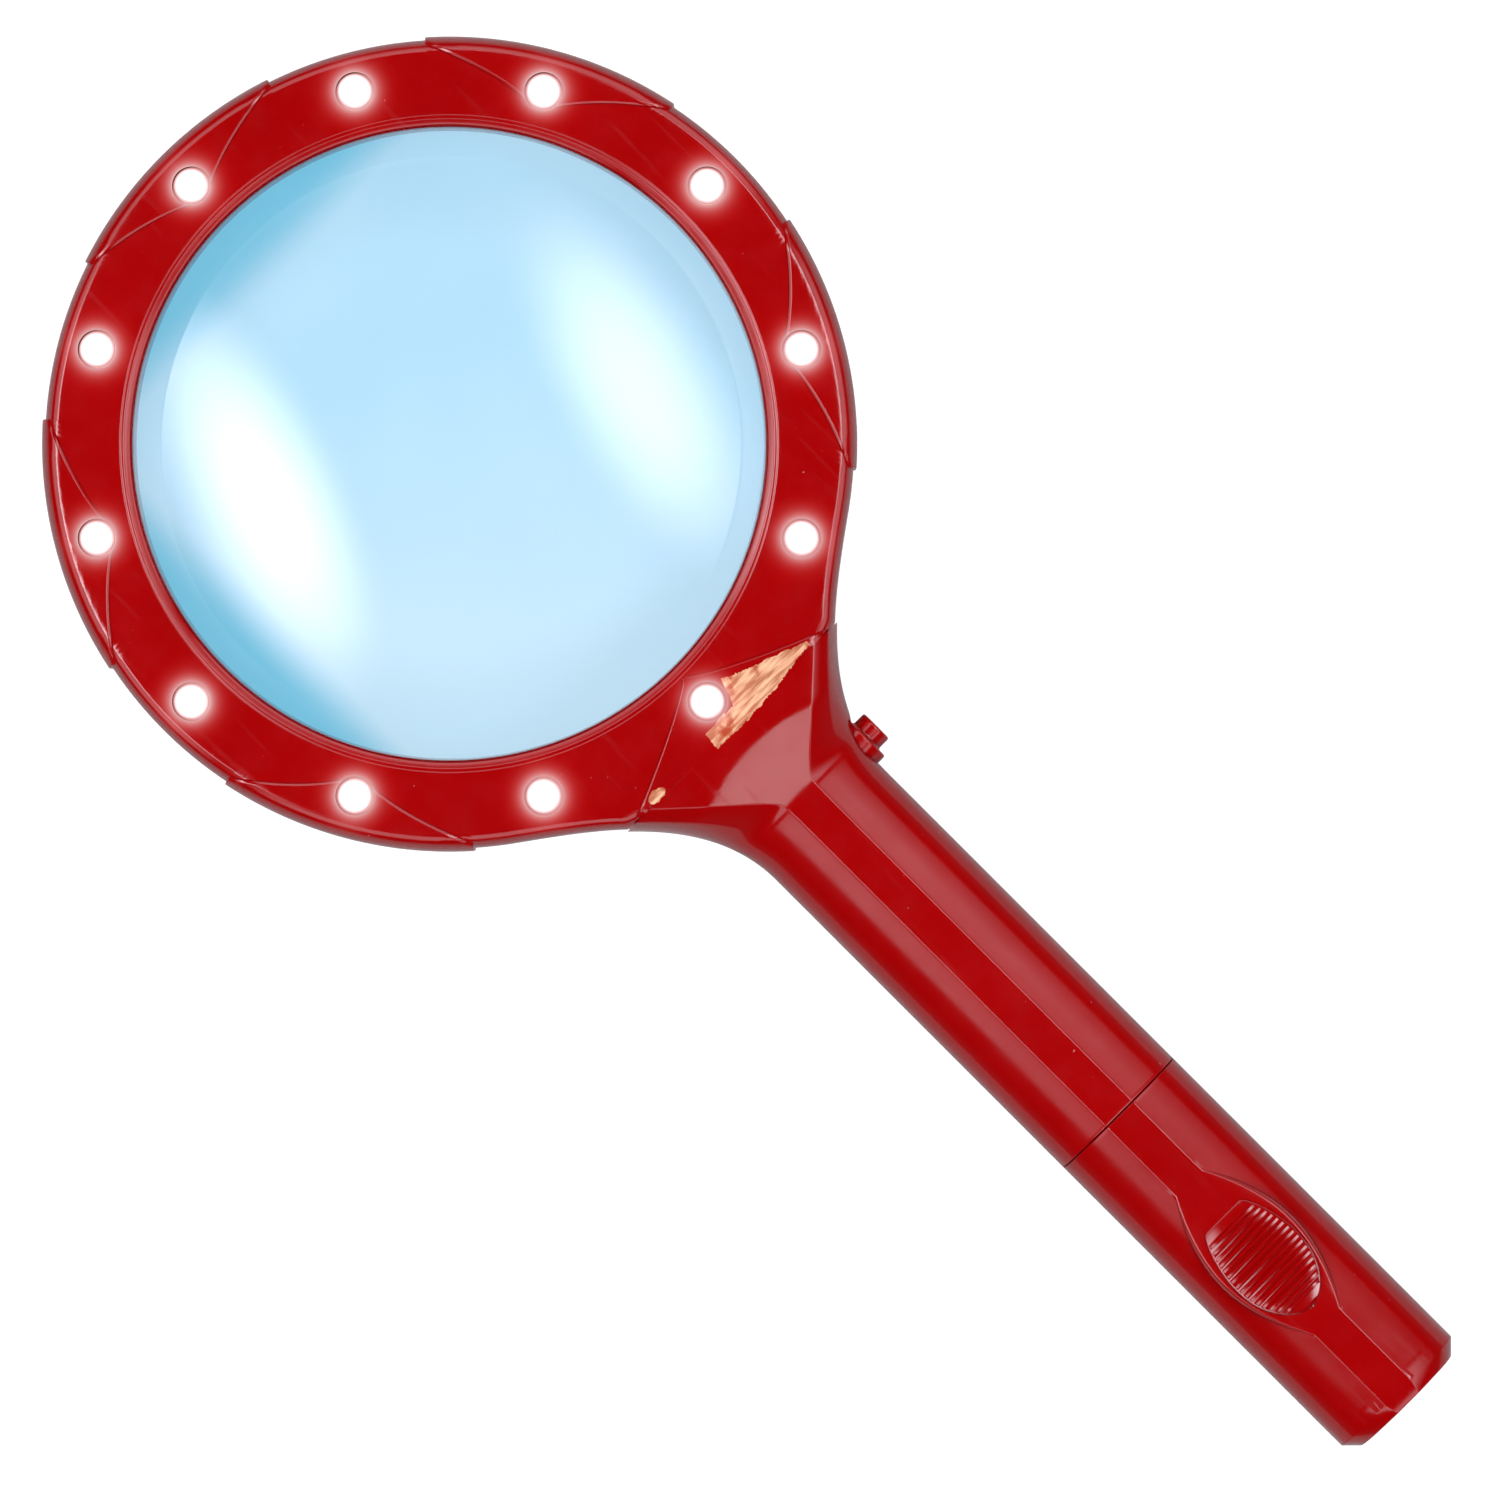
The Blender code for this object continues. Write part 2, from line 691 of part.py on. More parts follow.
def make_resistor(look):
    end = [(0.9, 2.0), (0.3, 2.2), (0.3, 3.2), (0, 3.2)]
    profile = [(r, -z) for r, z in reversed(end)] + end
    part = lathe("current_resistor", profile, 10)
    part.rotation_euler = (math.pi / 2, 0, math.radians(75))
    part.location = polar(15, LAMP_CIRCLE, 12.25)
    finish(part, look)


# ---------------------------------------------------------------- switch


def make_button(red, stem_white):
    cap = [(0, 6.9), (4.3, 6.9), (4.3, 7.7), (BUTTON_BASE_RADIUS, 7.7)]
    cap.append((BUTTON_BASE_RADIUS, BUTTON_BASE_TOP - 0.4))
    cap += [(BUTTON_BASE_RADIUS - 0.4, BUTTON_BASE_TOP), (BUTTON_NIB_RADIUS, BUTTON_BASE_TOP)]
    cap += [(BUTTON_NIB_RADIUS, BUTTON_NIB_TOP - 0.35), (BUTTON_NIB_RADIUS - 0.35, BUTTON_NIB_TOP)]
    button = lathe("button_cap", cap + [(0, BUTTON_NIB_TOP)], 24)
    button.data.transform(Matrix.Rotation(math.pi / 2, 4, "Y"))
    button.location = at(BUTTON_U, 0, BUTTON_Z)
    finish(button, red)
    plunger = box("switch_plunger", (70.5, 73.5), (3.8, 6.6), (BUTTON_Z - 1.5, BUTTON_Z + 1.5))
    finish(plunger, stem_white)
    move_origin(plunger, at(BUTTON_U, 0, BUTTON_Z))


def coil(name, start, end, radii, wire, turns, steps=10, sides=5):
    """A round-wire helix from start to end in metres, its radius going from radii[0] to radii[1]."""
    frame = (end - start).to_track_quat("Z", "Y").to_matrix()
    count = int(turns * steps)
    length = (end - start).length / MM
    loops = []
    for i in range(count + 1):
        t = i / count
        turn = 2 * math.pi * turns * t
        out = Vector((math.cos(turn), math.sin(turn), 0))
        middle = out * lerp(radii[0], radii[1], t) + Vector((0, 0, wire + (length - 2 * wire) * t))
        loop = []
        for j in range(sides):
            around = 2 * math.pi * j / sides
            offset = out * math.cos(around) + Vector((0, 0, math.sin(around)))
            loop.append(start + frame @ (middle + offset * wire) * MM)
        loops.append(loop)
    return loft(name, loops)


def make_switch(black, steel):
    housing = box("switch_housing", (67.5, 76.5), (-3.0, 5.0), (5.2, 13.2))
    cut(housing, box("pocket", (70.2, 73.8), (-1.4, 6), (BUTTON_Z - 1.8, BUTTON_Z + 1.8)))
    finish(housing, black)
    middle = at(BUTTON_U, -1.1, BUTTON_Z)
    finish(coil("switch_spring", middle, at(BUTTON_U, 3.5, BUTTON_Z), (1.15, 1.15), 0.17, 5), steel)
    for number, u in ((1, 74.5), (2, 69.5)):
        heights = (BUTTON_Z - 0.25, BUTTON_Z + 0.25)
        pin = box(f"switch_terminal_{number}", (u - 0.4, u + 0.4), (-5.5, -3.3), heights)
        finish(pin, steel)


# ---------------------------------------------------------------- power


def make_cells(sleeve):
    profile = [(0, 0), (2.7, 0), (2.7, 1.3), (6.6, 1.3), (CELL_RADIUS, 1.8)]
    profile.append((CELL_RADIUS, CELL_LENGTH - 0.4))
    cell = lathe("aa_cell_upper", profile + [(6.6, CELL_LENGTH), (0, CELL_LENGTH)], 24)
    cell.data.transform(Matrix.Rotation(math.pi / 2, 4, "X"))
    cell.location = at(UPPER_CELL_TIP, 0, CELL_Z)
    finish(cell, sleeve)
    copies(cell, ["aa_cell_lower"], [at(LOWER_CELL_TIP, 0, CELL_Z)])


def make_contacts(nickel):
    plate = box("positive_contact", (83.3, 83.7), (-5.3, 5.3), (CELL_Z - 4.4, CELL_Z + 4.4))
    finish(plate, nickel)
    start = at(191.7, 0, CELL_Z)
    finish(coil("tail_spring", start, at(185.8, 0, CELL_Z), (4.3, 2.6), 0.4, 3.5), nickel)
    tail = box("tail_contact_plate", (192.0, 192.4), (-5.3, 5.3), (CELL_Z - 4.4, CELL_Z + 4.4))
    join(tail, box("tab", (192.0, 192.4), (-1.5, 1.5), (1.65, CELL_Z)))
    finish(tail, nickel)
    finish(box("return_strip", (79.0, 192.3), (-1.5, 1.5), (1.05, 1.35)), nickel)


def wire(name, route, look):
    """A round wire along a smooth curve through the route's (u, v, z) points."""
    knots = [at(*point) for point in route]
    points = []
    padded = [knots[0] * 2 - knots[1]] + knots + [knots[-1] * 2 - knots[-2]]
    for a, b, c, d in zip(padded, padded[1:], padded[2:], padded[3:]):
        for i in range(4):
            t = i / 4
            bend = a * (-t + 2 * t * t - t**3) + b * (2 - 5 * t * t + 3 * t**3)
            points.append((bend + c * (t + 4 * t * t - 3 * t**3) + d * (t**3 - t * t)) / 2)
    points.append(knots[-1])
    curve = bpy.data.curves.new(name, "CURVE")
    curve.dimensions = "3D"
    curve.bevel_depth = 0.6 * MM
    curve.bevel_resolution = 2
    curve.use_fill_caps = True
    spline = curve.splines.new("POLY")
    spline.points.add(len(points) - 1)
    for knot, point in zip(spline.points, points):
        knot.co = (*point, 1)
    obj = bpy.data.objects.new(name, curve)
    curve.materials.append(look)
    bpy.context.scene.collection.objects.link(obj)


def make_wires():
    red = material("wire_red", (0.6, 0.02, 0.02), 0.4)
    black = material("wire_black", (0.02, 0.02, 0.02), 0.4)
    yellow = material("wire_yellow", (0.75, 0.5, 0.03), 0.4)
    wire("red_wire", [(82.9, -4.5, 9.2), (80.5, -4.5, 9.2), (78.0, -5.8, 9.2), (75.6, -6.8, 9.2)], red)
    switch_route = [(69.0, -6.8, 9.2), (66.0, -6.0, 10.2), (62.0, -3.5, 11.9), (58.2, -2.5, 12.0)]
    wire("switch_wire", switch_route, yellow)
    wire("black_wire", [(79.3, 0, 2.6), (76.8, -3.4, 3.4), (72.0, -5.0, 3.6), (66.0, -3.2, 5.2),
                        (61.5, 0.8, 7.4), (57.6, 2.5, 8.2)], black)


def main():
    clear_scene()
    red = material("red_plastic", (0.38, 0.001, 0.001), 0.12)
    steel = material("steel", (0.6, 0.6, 0.6), 0.3, 1.0)
    nickel = material("nickel", (0.7, 0.68, 0.6), 0.25, 1.0)
    make_front_shell(red)
    make_rear_shell(red)
    make_battery_cover(red)
    make_screws(steel)
    make_lens(material("clear_acrylic", (0.85, 0.95, 1.0), 0.02, Transmission_Weight=1.0, IOR=1.49))
    make_lamps(material("lamp_epoxy", (0.95, 0.97, 1.0), 0.08, Emission_Strength=4.0))
    make_led_board(material("board_green", (0.02, 0.2, 0.06), 0.35))
    make_resistor(material("resistor_blue", (0.2, 0.45, 0.6), 0.4))
    make_button(red, material("stem_white", (0.85, 0.85, 0.82), 0.35))
    make_switch(material("switch_black", (0.03, 0.03, 0.03), 0.4), steel)
    make_cells(material("cell_sleeve", (0.1, 0.25, 0.35), 0.3))
    make_contacts(nickel)
    make_wires()


main()
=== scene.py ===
"""Looks of the lit hand magnifier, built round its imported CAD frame.

In plan, u runs from the lens centre along the handle and v towards the push button, and ring
angles are counted from the handle. Sizes are in millimetres, and at() turns them into metres.
"""

import math

import bmesh
import bpy
from mathutils import Matrix, Vector


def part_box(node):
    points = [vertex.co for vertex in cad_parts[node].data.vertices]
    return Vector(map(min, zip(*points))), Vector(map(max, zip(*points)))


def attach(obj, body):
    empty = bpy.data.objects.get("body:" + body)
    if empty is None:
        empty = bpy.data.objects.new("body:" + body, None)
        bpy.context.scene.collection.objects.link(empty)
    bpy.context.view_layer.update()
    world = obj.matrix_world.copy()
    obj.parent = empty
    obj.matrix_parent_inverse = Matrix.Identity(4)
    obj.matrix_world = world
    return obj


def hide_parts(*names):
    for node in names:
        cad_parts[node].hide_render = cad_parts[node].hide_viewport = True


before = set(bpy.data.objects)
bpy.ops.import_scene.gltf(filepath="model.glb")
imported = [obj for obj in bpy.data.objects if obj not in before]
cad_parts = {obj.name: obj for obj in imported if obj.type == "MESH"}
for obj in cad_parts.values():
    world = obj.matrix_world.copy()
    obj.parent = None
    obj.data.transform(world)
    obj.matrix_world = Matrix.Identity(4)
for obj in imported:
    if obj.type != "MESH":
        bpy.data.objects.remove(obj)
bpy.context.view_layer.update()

MM = 0.001
GAP = 0.3
LENS_Y = sum(corner.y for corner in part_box("lens")) / 2 / MM

FACE_Z = 19.6
HANDLE_TOP_Z = 18.4
SPLIT_Z = 9.2
FRONT_BOTTOM_Z = SPLIT_Z + GAP / 2
REAR_TOP_Z = SPLIT_Z - GAP / 2
FLOOR_Z = 1.8

RING_RADIUS = 58.1
SIGHT_RADIUS = 45.15
FACE_STARTS = 48.0
RIM_ROUND = 2.05
BACK_ROUND = 2.7
PETAL_RAISE = 0.45
PETAL_HALF_ANGLE = 18.5
PETAL_ANGLES = (60, 120, 180, 240, 300)
PETAL_INNER = 49.6
PETAL_DEPTH = 7.9
PETAL_END_IN = 0.12
PETAL_END_OUT = 0.06
PETAL_END_SECTIONS = (-0.2, -0.1, -0.05, 0, 0.05, 0.1, 0.2)
STEP_HALF = 0.32
RIM_TILTS = ((0, 0), (0.02, 15), (0.19, 24), (0.26, 60), (0.55, 74), (0.85, 84), (1, 90))
STEP_SHAPE = ((0, 0), (0.06, 0.1), (0.22, 0.72), (0.75, 0.985), (0.87, 1), (1, 1))
STEP_MARKS = (0.06, 0.15, 0.25, 0.35, 0.5, 0.65, 0.75, 0.87)
CHANNEL_INNER = 48.7
CHANNEL_OUTER = 56.0
CHANNEL_TOP_Z = 17.4
LAMP_CIRCLE = 52.3
LAMP_COUNT = 12

HANDLE_END = 194.6
HANDLE_HALF = 11.15
CREST_HALF = 2.6
CREASE_HALF = 7.7
CREASE_DROP = 2.1
CREASE_SHARE = (CREASE_HALF - CREST_HALF) / (HANDLE_HALF - CREST_HALF)
FACET_START = 0.72
FACET_SLOPE = CREASE_DROP / (CREASE_HALF - CREST_HALF)
SIDE_POWER = 2.6
PILLOW = 0.09
END_CHAMFER = 1.95
EDGE_ROUND = 0.12
NECK_LEAVES_RING = 35.5
NECK_ENDS = 77.5
NECK_PULL = 14.0
NECK_PROUD = 0.5
KEY_RAISE = 0.35
KEY_SLOPE = 0.34
KEY_APEX = 47.2
KEY_ENDS = 57.4
PANEL_BENDS = 61.0
PANEL_BOW = 2.2
PANEL_TIP = 71.2
SEAM = 136.0
SEAM_GAP = 0.16
GRIP_STARTS = 150.0
GRIP_LENGTH = 28.0
GRIP_PROUD = 4.1
HOLLOW_STARTS = 156.8
HOLLOW_LENGTH = 18.5
RIB_STARTS = 158.6
RIB_PITCH = 0.95
RIB_WIDTH = 0.45
RIB_COUNT = 16
RIB_EDGE = 0.04
RAIL_STARTS = 138.0
RAIL_ENDS = 190.5
RAIL_TOP_Z = 12.0

LENS_RADIUS = 47.0
LENS_CURVE = 163.0
LENS_MID_Z = 9.8
LENS_HALF_THICK = 8.0

CELL_RADIUS = 7.1
CELL_LENGTH = 50.5
CELL_Z = 9.15
CELL_PITCH = 50.8
UPPER_CELL_TIP = 84.2
LOWER_CELL_TIP = 135.0
BORE_RADIUS = 7.55
BORE_STARTS = 83.0
BORE_ENDS = 192.7

BUTTON_U = 72.0
BUTTON_BASE_RADIUS = 3.95
BUTTON_BASE_TOP = 12.6
BUTTON_NIB_RADIUS = 2.55
BUTTON_NIB_TOP = 14.8
SCREW_ANGLES = (45, 105, 165, 195, 255, 315)
NECK_SCREW = (63.5, 9.5)
LAMP_RADIUS = 2.5
LAMP_BASE_Z = 12.1

CAMERA_HEIGHT = 2.0
VIEW_WIDTH = 0.215
VIEW_POINT = (-0.56, 6.46)
VIEW_TURN = -45
SENSOR = 36
BAND_STARTS = (31, 34)
BAND_ENDS = (45, 47.5)
BAND_STRENGTH = 2.2
SKY_SPOTS = (
    ((-0.30, 0.21), (0.16, 0.44), -20, 15.0),
    ((0.317, -0.137), (0.17, 0.42), -16, 10.0),
)
PANEL_LIGHT_AWAY = Vector((0, -0.311, 0.95))
PANEL_LIGHT_DISTANCE = 1.5


def at(u, v, z):
    """The point in metres at u along the handle, v to the button side and height z."""
    return Vector((v, LENS_Y - u, z)) * MM


def polar(angle, radius, z):
    turn = math.radians(angle)
    return at(radius * math.cos(turn), radius * math.sin(turn), z)


def slice_at(u, points):
    """The (v, z) points as places at u along the handle."""
    return [at(u, v, z) for v, z in points]


def mirrored(points):
    """The (v, z) points on the handle's other side, in reverse order."""
    return [(-v, z) for v, z in reversed(points)]


def lerp(a, b, t):
    return a + (b - a) * t


def blend(x, low, high):
    """0 below low, 1 above high, and a smooth rise between."""
    t = min(1.0, max(0.0, (x - low) / (high - low)))
    return t * t * (3 - 2 * t)


def spread(low, high, count):
    """count + 1 values from low to high."""
    return [lerp(low, high, i / count) for i in range(count + 1)]


def between(x, pairs):
    """The second value of the pairs, read at x on the first, in straight lines."""
    for (x0, y0), (x1, y1) in zip(pairs, pairs[1:]):
        if x <= x1:
            return lerp(y0, y1, (x - x0) / (x1 - x0)) if x1 > x0 else y1
    return pairs[-1][1]


# ---------------------------------------------------------------- meshes


def object_from(name, mesh_data):
    bmesh.ops.remove_doubles(mesh_data, verts=mesh_data.verts, dist=1e-7)
    bmesh.ops.recalc_face_normals(mesh_data, faces=mesh_data.faces)
    mesh = bpy.data.meshes.new(name)
    mesh_data.to_mesh(mesh)
    mesh_data.free()
    obj = bpy.data.objects.new(name, mesh)
    bpy.context.scene.collection.objects.link(obj)
    return obj


def loft(name, loops, closed=False):
    """A solid through loops of equal length, capped at both ends or closed on itself."""
    mesh_data = bmesh.new()
    rows = [[mesh_data.verts.new(point) for point in loop] for loop in loops]
    pairs = list(zip(rows, rows[1:]))
    if closed:
        pairs.append((rows[-1], rows[0]))
    count = len(rows[0])
    for low, high in pairs:
        for i in range(count):
            j = (i + 1) % count
            mesh_data.faces.new((low[i], low[j], high[j], high[i]))
    if not closed:
        mesh_data.faces.new(rows[0])
        mesh_data.faces.new(rows[-1])
    return object_from(name, mesh_data)


def lathe(name, profile, sides, centre=Vector((0, 0, 0))):
    """A round solid about the vertical line through centre, from (radius, height) pairs."""
    loops = []
    for i in range(sides):
        turn = 2 * math.pi * i / sides
        ray = Vector((math.cos(turn), math.sin(turn), 0))
        loops.append([centre + (ray * r + Vector((0, 0, z))) * MM for r, z in profile])
    return loft(name, loops, closed=True)


def box(name, u, v, z):
    loops = []
    for height in z:
        corners = ((u[0], v[0]), (u[1], v[0]), (u[1], v[1]), (u[0], v[1]))
        loops.append([at(a, b, height) for a, b in corners])
    return loft(name, loops)


def rod(name, start, end, radius, sides=64):
    """A round bar between two points in metres, its radius in millimetres."""
    turned = (end - start).to_track_quat("Z", "Y").to_matrix()
    turns = [2 * math.pi * i / sides for i in range(sides)]
    rays = [turned @ Vector((math.cos(t), math.sin(t), 0)) * radius * MM for t in turns]
    return loft(name, [[base + ray for ray in rays] for base in (start, end)])


def post(name, u, v, z, radius, sides=48):
    return rod(name, at(u, v, z[0]), at(u, v, z[1]), radius, sides)


def combine(obj, tool, operation):
    modifier = obj.modifiers.new(operation.lower(), "BOOLEAN")
    modifier.solver = "MANIFOLD"
    modifier.operation = operation
    modifier.object = tool
    bpy.context.view_layer.update()
    graph = bpy.context.evaluated_depsgraph_get()
    mesh = bpy.data.meshes.new_from_object(obj.evaluated_get(graph))
    obj.modifiers.clear()
    obj.data = mesh
    bpy.data.objects.remove(tool, do_unlink=True)


def join(obj, tool):
    combine(obj, tool, "UNION")


def cut(obj, tool):
    combine(obj, tool, "DIFFERENCE")


def finish(obj, look, body, nodes=(), sharp=32):
    """Gives a piece its material and shading, and puts it on its body in place of CAD nodes."""
    obj.data.materials.clear()
    obj.data.materials.append(look)
    obj.data.shade_smooth()
    obj.data.set_sharp_from_angle(angle=math.radians(sharp))
    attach(obj, body)
    if nodes:
        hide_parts(*nodes)
    return obj


# ---------------------------------------------------------------- outlines


def neck_curve():
    """Points (u, v) of the neck's side, from the ring's circle to the straight handle."""
    turn = math.radians(NECK_LEAVES_RING)
    start = Vector((math.cos(turn), math.sin(turn))) * RING_RADIUS
    end = Vector((NECK_ENDS, HANDLE_HALF))
    first = start + Vector((math.sin(turn), -math.cos(turn))) * NECK_PULL
    second = end - Vector((NECK_PULL, 0))
    points = []
    for t in spread(0, 1, 200):
        s = 1 - t
        points.append(start * s**3 + first * 3 * s * s * t + second * 3 * s * t * t + end * t**3)
    return points


NECK_SIDE = [(p.x, p.y) for p in neck_curve()]
NECK_RADII = [(math.degrees(math.atan2(p.y, p.x)), p.length) for p in reversed(neck_curve())]


def half_width(u):
    """Half the neck's or the handle's width, proud of the ring's outline past the keystone."""
    proud = NECK_PROUD * (1 - blend(u, KEY_ENDS, NECK_ENDS)) if u >= KEY_ENDS else -NECK_PROUD
    return between(u, NECK_SIDE) + proud


def outline_radius(angle):
    """The ring's outer radius, which runs out into the neck near the handle."""
    angle = abs((angle + 180) % 360 - 180)
    if angle >= NECK_LEAVES_RING:
        return RING_RADIUS
    return between(max(angle, 20), NECK_RADII)


def keystone_half(u):
    """Half the width of the keystone panel where it lies on the ring."""
    return 1.222 * max(u - KEY_APEX, 0) ** 1.212


def petal_edge(offset):
    """Radius of a petal's edge at an angle from its middle."""
    return PETAL_INNER + PETAL_DEPTH * (abs(offset) / PETAL_HALF_ANGLE) ** 0.95


def petal_offset(angle):
    """The angle from the middle of the nearest petal."""
    return min(((angle - middle + 180) % 360 - 180 for middle in PETAL_ANGLES), key=abs)


def petal_share(angle):
    """1 on a petal's angles and 0 between petals, with a short slope at its ends."""
    low, high = PETAL_HALF_ANGLE - PETAL_END_IN, PETAL_HALF_ANGLE + PETAL_END_OUT
    return 1 - blend(abs(petal_offset(angle)), low, high)


# ---------------------------------------------------------------- ring


def ring_angles():
    """Section angles all round, closer together at the petals' ends and the keystone."""
    angles = set(round(i * 0.75, 3) for i in range(480))
    for middle in PETAL_ANGLES:
        for side in (-1, 1):
            angles |= {round(middle + side * (PETAL_HALF_ANGLE + d), 3) for d in PETAL_END_SECTIONS}
    return sorted(angles)


def rim_curve():
    """(distance, out, down, tilt) along the rim: a narrow slope, then a full round to upright."""
    count = 120
    out, down, rows = 0.0, 0.0, []
    for step in range(count + 1):
        tilt = math.radians(between(step / count, RIM_TILTS))
        rows.append((step / count, out, down, tilt))
        out += math.cos(tilt) / count
        down += math.sin(tilt) / count
    scale = RIM_ROUND / rows[-1][1]
    return [(d * scale, o * scale, z * scale, tilt) for d, o, z, tilt in rows]


RIM = rim_curve()
RIM_LENGTH, RIM_DROP = RIM[-1][0], RIM[-1][2]


def step_mark(radius, outer):
    """Distance from the face's inner edge, over the rounded rim, to where it reaches a radius."""
    flat = outer - RIM_ROUND
    if radius <= flat:
        return radius - FACE_STARTS
    reach = [(out, distance) for distance, out, _, _ in RIM]
    return flat - FACE_STARTS + between(radius - flat, reach)


def face_marks(flat, side, edge):
    """Distances along the face for the section's points, close together on the rim and the step."""
    rim = flat + RIM_LENGTH
    packed = flat + RIM_LENGTH * 6
    ruler = [(0, 0), (flat, flat), (rim, packed), (rim + side, packed + side * 0.6)]
    back = [(b, a) for a, b in ruler]
    low = between(edge - STEP_HALF, ruler)
    high = between(edge + STEP_HALF, ruler)
    marks = [between(w, back) for w in spread(0, low, 22)]
    marks += [edge + STEP_HALF * (2 * t - 1) for t in STEP_MARKS]
    return marks + [between(w, back) for w in spread(high, ruler[-1][1], 34)]


def ring_face_section(angle):
    """(radius, height) pairs over the ring's lamp side, from the lens opening to the split."""
    outer = outline_radius(angle)
    offset = abs(petal_offset(angle))
    flat = outer - RIM_ROUND - FACE_STARTS
    side = FACE_Z - RIM_DROP - FRONT_BOTTOM_Z
    petal_rise = PETAL_RAISE * petal_share(angle)
    edge = step_mark(petal_edge(min(offset, PETAL_HALF_ANGLE)), outer)
    section = inner_lip()
    for mark in face_marks(flat, side, max(edge, STEP_HALF + 0.02)):
        lift = petal_rise * between((mark - edge + STEP_HALF) / STEP_HALF / 2, STEP_SHAPE)
        lift = lift if mark > edge - STEP_HALF else 0.0
        along = mark - flat
        out, down, tilt = 0.0, 0.0, 0.0
        if along > 0:
            out, down, tilt = (between(along, [(row[0], row[i]) for row in RIM]) for i in (1, 2, 3))
        radius = FACE_STARTS + min(mark, flat) + out + lift * math.sin(tilt)
        section.append((radius, FACE_Z - down + lift * math.cos(tilt) - max(along - RIM_LENGTH, 0)))
    return section


def inner_lip():
    """(radius, height) pairs of the wall round the lens and the two fine ridges along its top."""
    wall = [(SIGHT_RADIUS, 11.8), (45.18, 12.6), (45.3, 17.2), (45.4, 18.3), (45.55, 18.85)]
    wall += [(45.8, 19.2), (46.1, 19.32), (46.5, 19.4)]
    ridges = [(46.56, 19.42), (46.72, 19.485), (46.8, 19.49), (47.05, 19.5)]
    ridges += [(47.11, 19.52), (47.23, 19.57), (47.3, 19.58), (47.6, 19.59)]
    return wall + ridges + [(47.85, FACE_Z)]


def ring_front_solid():
    collar = [(48.1, FRONT_BOTTOM_Z), (48.1, 6.0), (47.3, 6.0), (47.3, 11.8)]
    loops = [[polar(a, r, z) for r, z in ring_face_section(a) + collar] for a in ring_angles()]
    return loft("front_shell_skin", loops, closed=True)


def ring_back_section(angle):
    """(radius, height) pairs of the ring's back half, round the lens's seat and out."""
    outer = outline_radius(angle) + PETAL_RAISE * petal_share(angle)
    section = [(49.4, REAR_TOP_Z), (49.4, 5.7), (SIGHT_RADIUS, 5.7), (45.35, 1.1)]
    section += [(45.5, 0.55), (45.85, 0.15), (46.3, 0)]
    for turn in spread(0, math.pi / 2, 12):
        out, up = BACK_ROUND * math.sin(turn), BACK_ROUND * (1 - math.cos(turn))
        section.append((outer - BACK_ROUND + out, up))
    return section + [(outer, 5.5), (outer, REAR_TOP_Z)]


def ring_back_solid():
    loops = [[polar(a, r, z) for r, z in ring_back_section(a)] for a in ring_angles()]
    return loft("rear_shell_skin", loops, closed=True)


# ---------------------------------------------------------------- neck and handle


def crest(u, share=0.0):
    """Height of the neck's panel and of the handle's crest."""
    bend = PANEL_BENDS + PANEL_BOW * share * share
    slope = min(1, max(0, (u - bend) / (PANEL_TIP - bend)))
    return lerp(FACE_Z + KEY_RAISE, HANDLE_TOP_Z, lerp(slope, blend(slope, 0, 1), 0.15))


def front_half(u, inset=0.0):
    """(v, z) pairs of the lamp side of the neck or handle, from the middle out to the split."""
    width = half_width(u) - inset
    spare = 3.0 - CREST_HALF + 1.08 * (70 - u)
    flat = CREST_HALF + (spare + math.hypot(spare, 0.7)) / 2 - inset * 0.3
    flat = min(flat, width - 1.5)
    crease = lerp(flat, width, CREASE_SHARE)
    drop = FACET_SLOPE * (crease - flat)
    pillow = PILLOW * (1 - blend(u, 68, PANEL_TIP))
    section = []
    for share in [*spread(0, 0.94, 8), 0.985]:
        section.append((share * flat, crest(u, share) - inset * 0.9 - pillow * share**4))
    top = crest(u, 1) - inset * 0.9
    section.append((flat, top - pillow - 0.01))
    for t in (0.03, 0.1, 0.2, 0.35, 0.5, 0.65, 0.8, 0.92, 1.0):
        fall = drop * (FACET_START * t + (1 - FACET_START) * t * t)
        section.append((lerp(flat, crease, t), top - pillow - fall))
    high = section[-1][1] - SPLIT_Z
    reach = crease / width
    full = high / (1 - reach**SIDE_POWER) ** (1 / SIDE_POWER)
    for turn in spread(math.acos(reach ** (SIDE_POWER / 2)), 0, 13)[1:]:
        v = width * math.cos(turn) ** (2 / SIDE_POWER)
        height = SPLIT_Z + full * math.sin(turn) ** (2 / SIDE_POWER)
        section.append((v, max(height, FRONT_BOTTOM_Z)))
    return section


def clipped(section, u):
    """The section cut off by the keystone's upright wall, which has a sloped top edge.

    It keeps its number of points.
    """
    count = len(section)
    limit = keystone_half(u)
    lean = math.hypot(1, (keystone_half(u + 0.1) - keystone_half(u - 0.1)) / 0.2)
    slope = min(KEY_SLOPE * lean, limit * 0.5)
    edge = between(limit - slope, section)
    shape = [(v, between(v, section)) for v in spread(0, limit - slope, count - 7)]
    wall = [(limit - slope * (1 - t), edge - KEY_SLOPE * t * 0.4) for t in (0.15, 0.9)]
    foot = edge - KEY_SLOPE * 0.45
    heights = (foot, foot - 0.1, lerp(foot, FRONT_BOTTOM_Z, 0.5), FRONT_BOTTOM_Z)
    return shape + wall + [(limit, z) for z in heights]


def neck_front_solid(name, stations):
    """The lamp side of the neck or handle through stations, which are (u, inset) pairs."""
    loops = []
    for u, inset in stations:
        section = front_half(u, inset)
        if u < KEY_ENDS:
            section = clipped(section, u)
        loops.append(slice_at(u, mirrored(section[1:]) + section))
    return loft(name, loops)


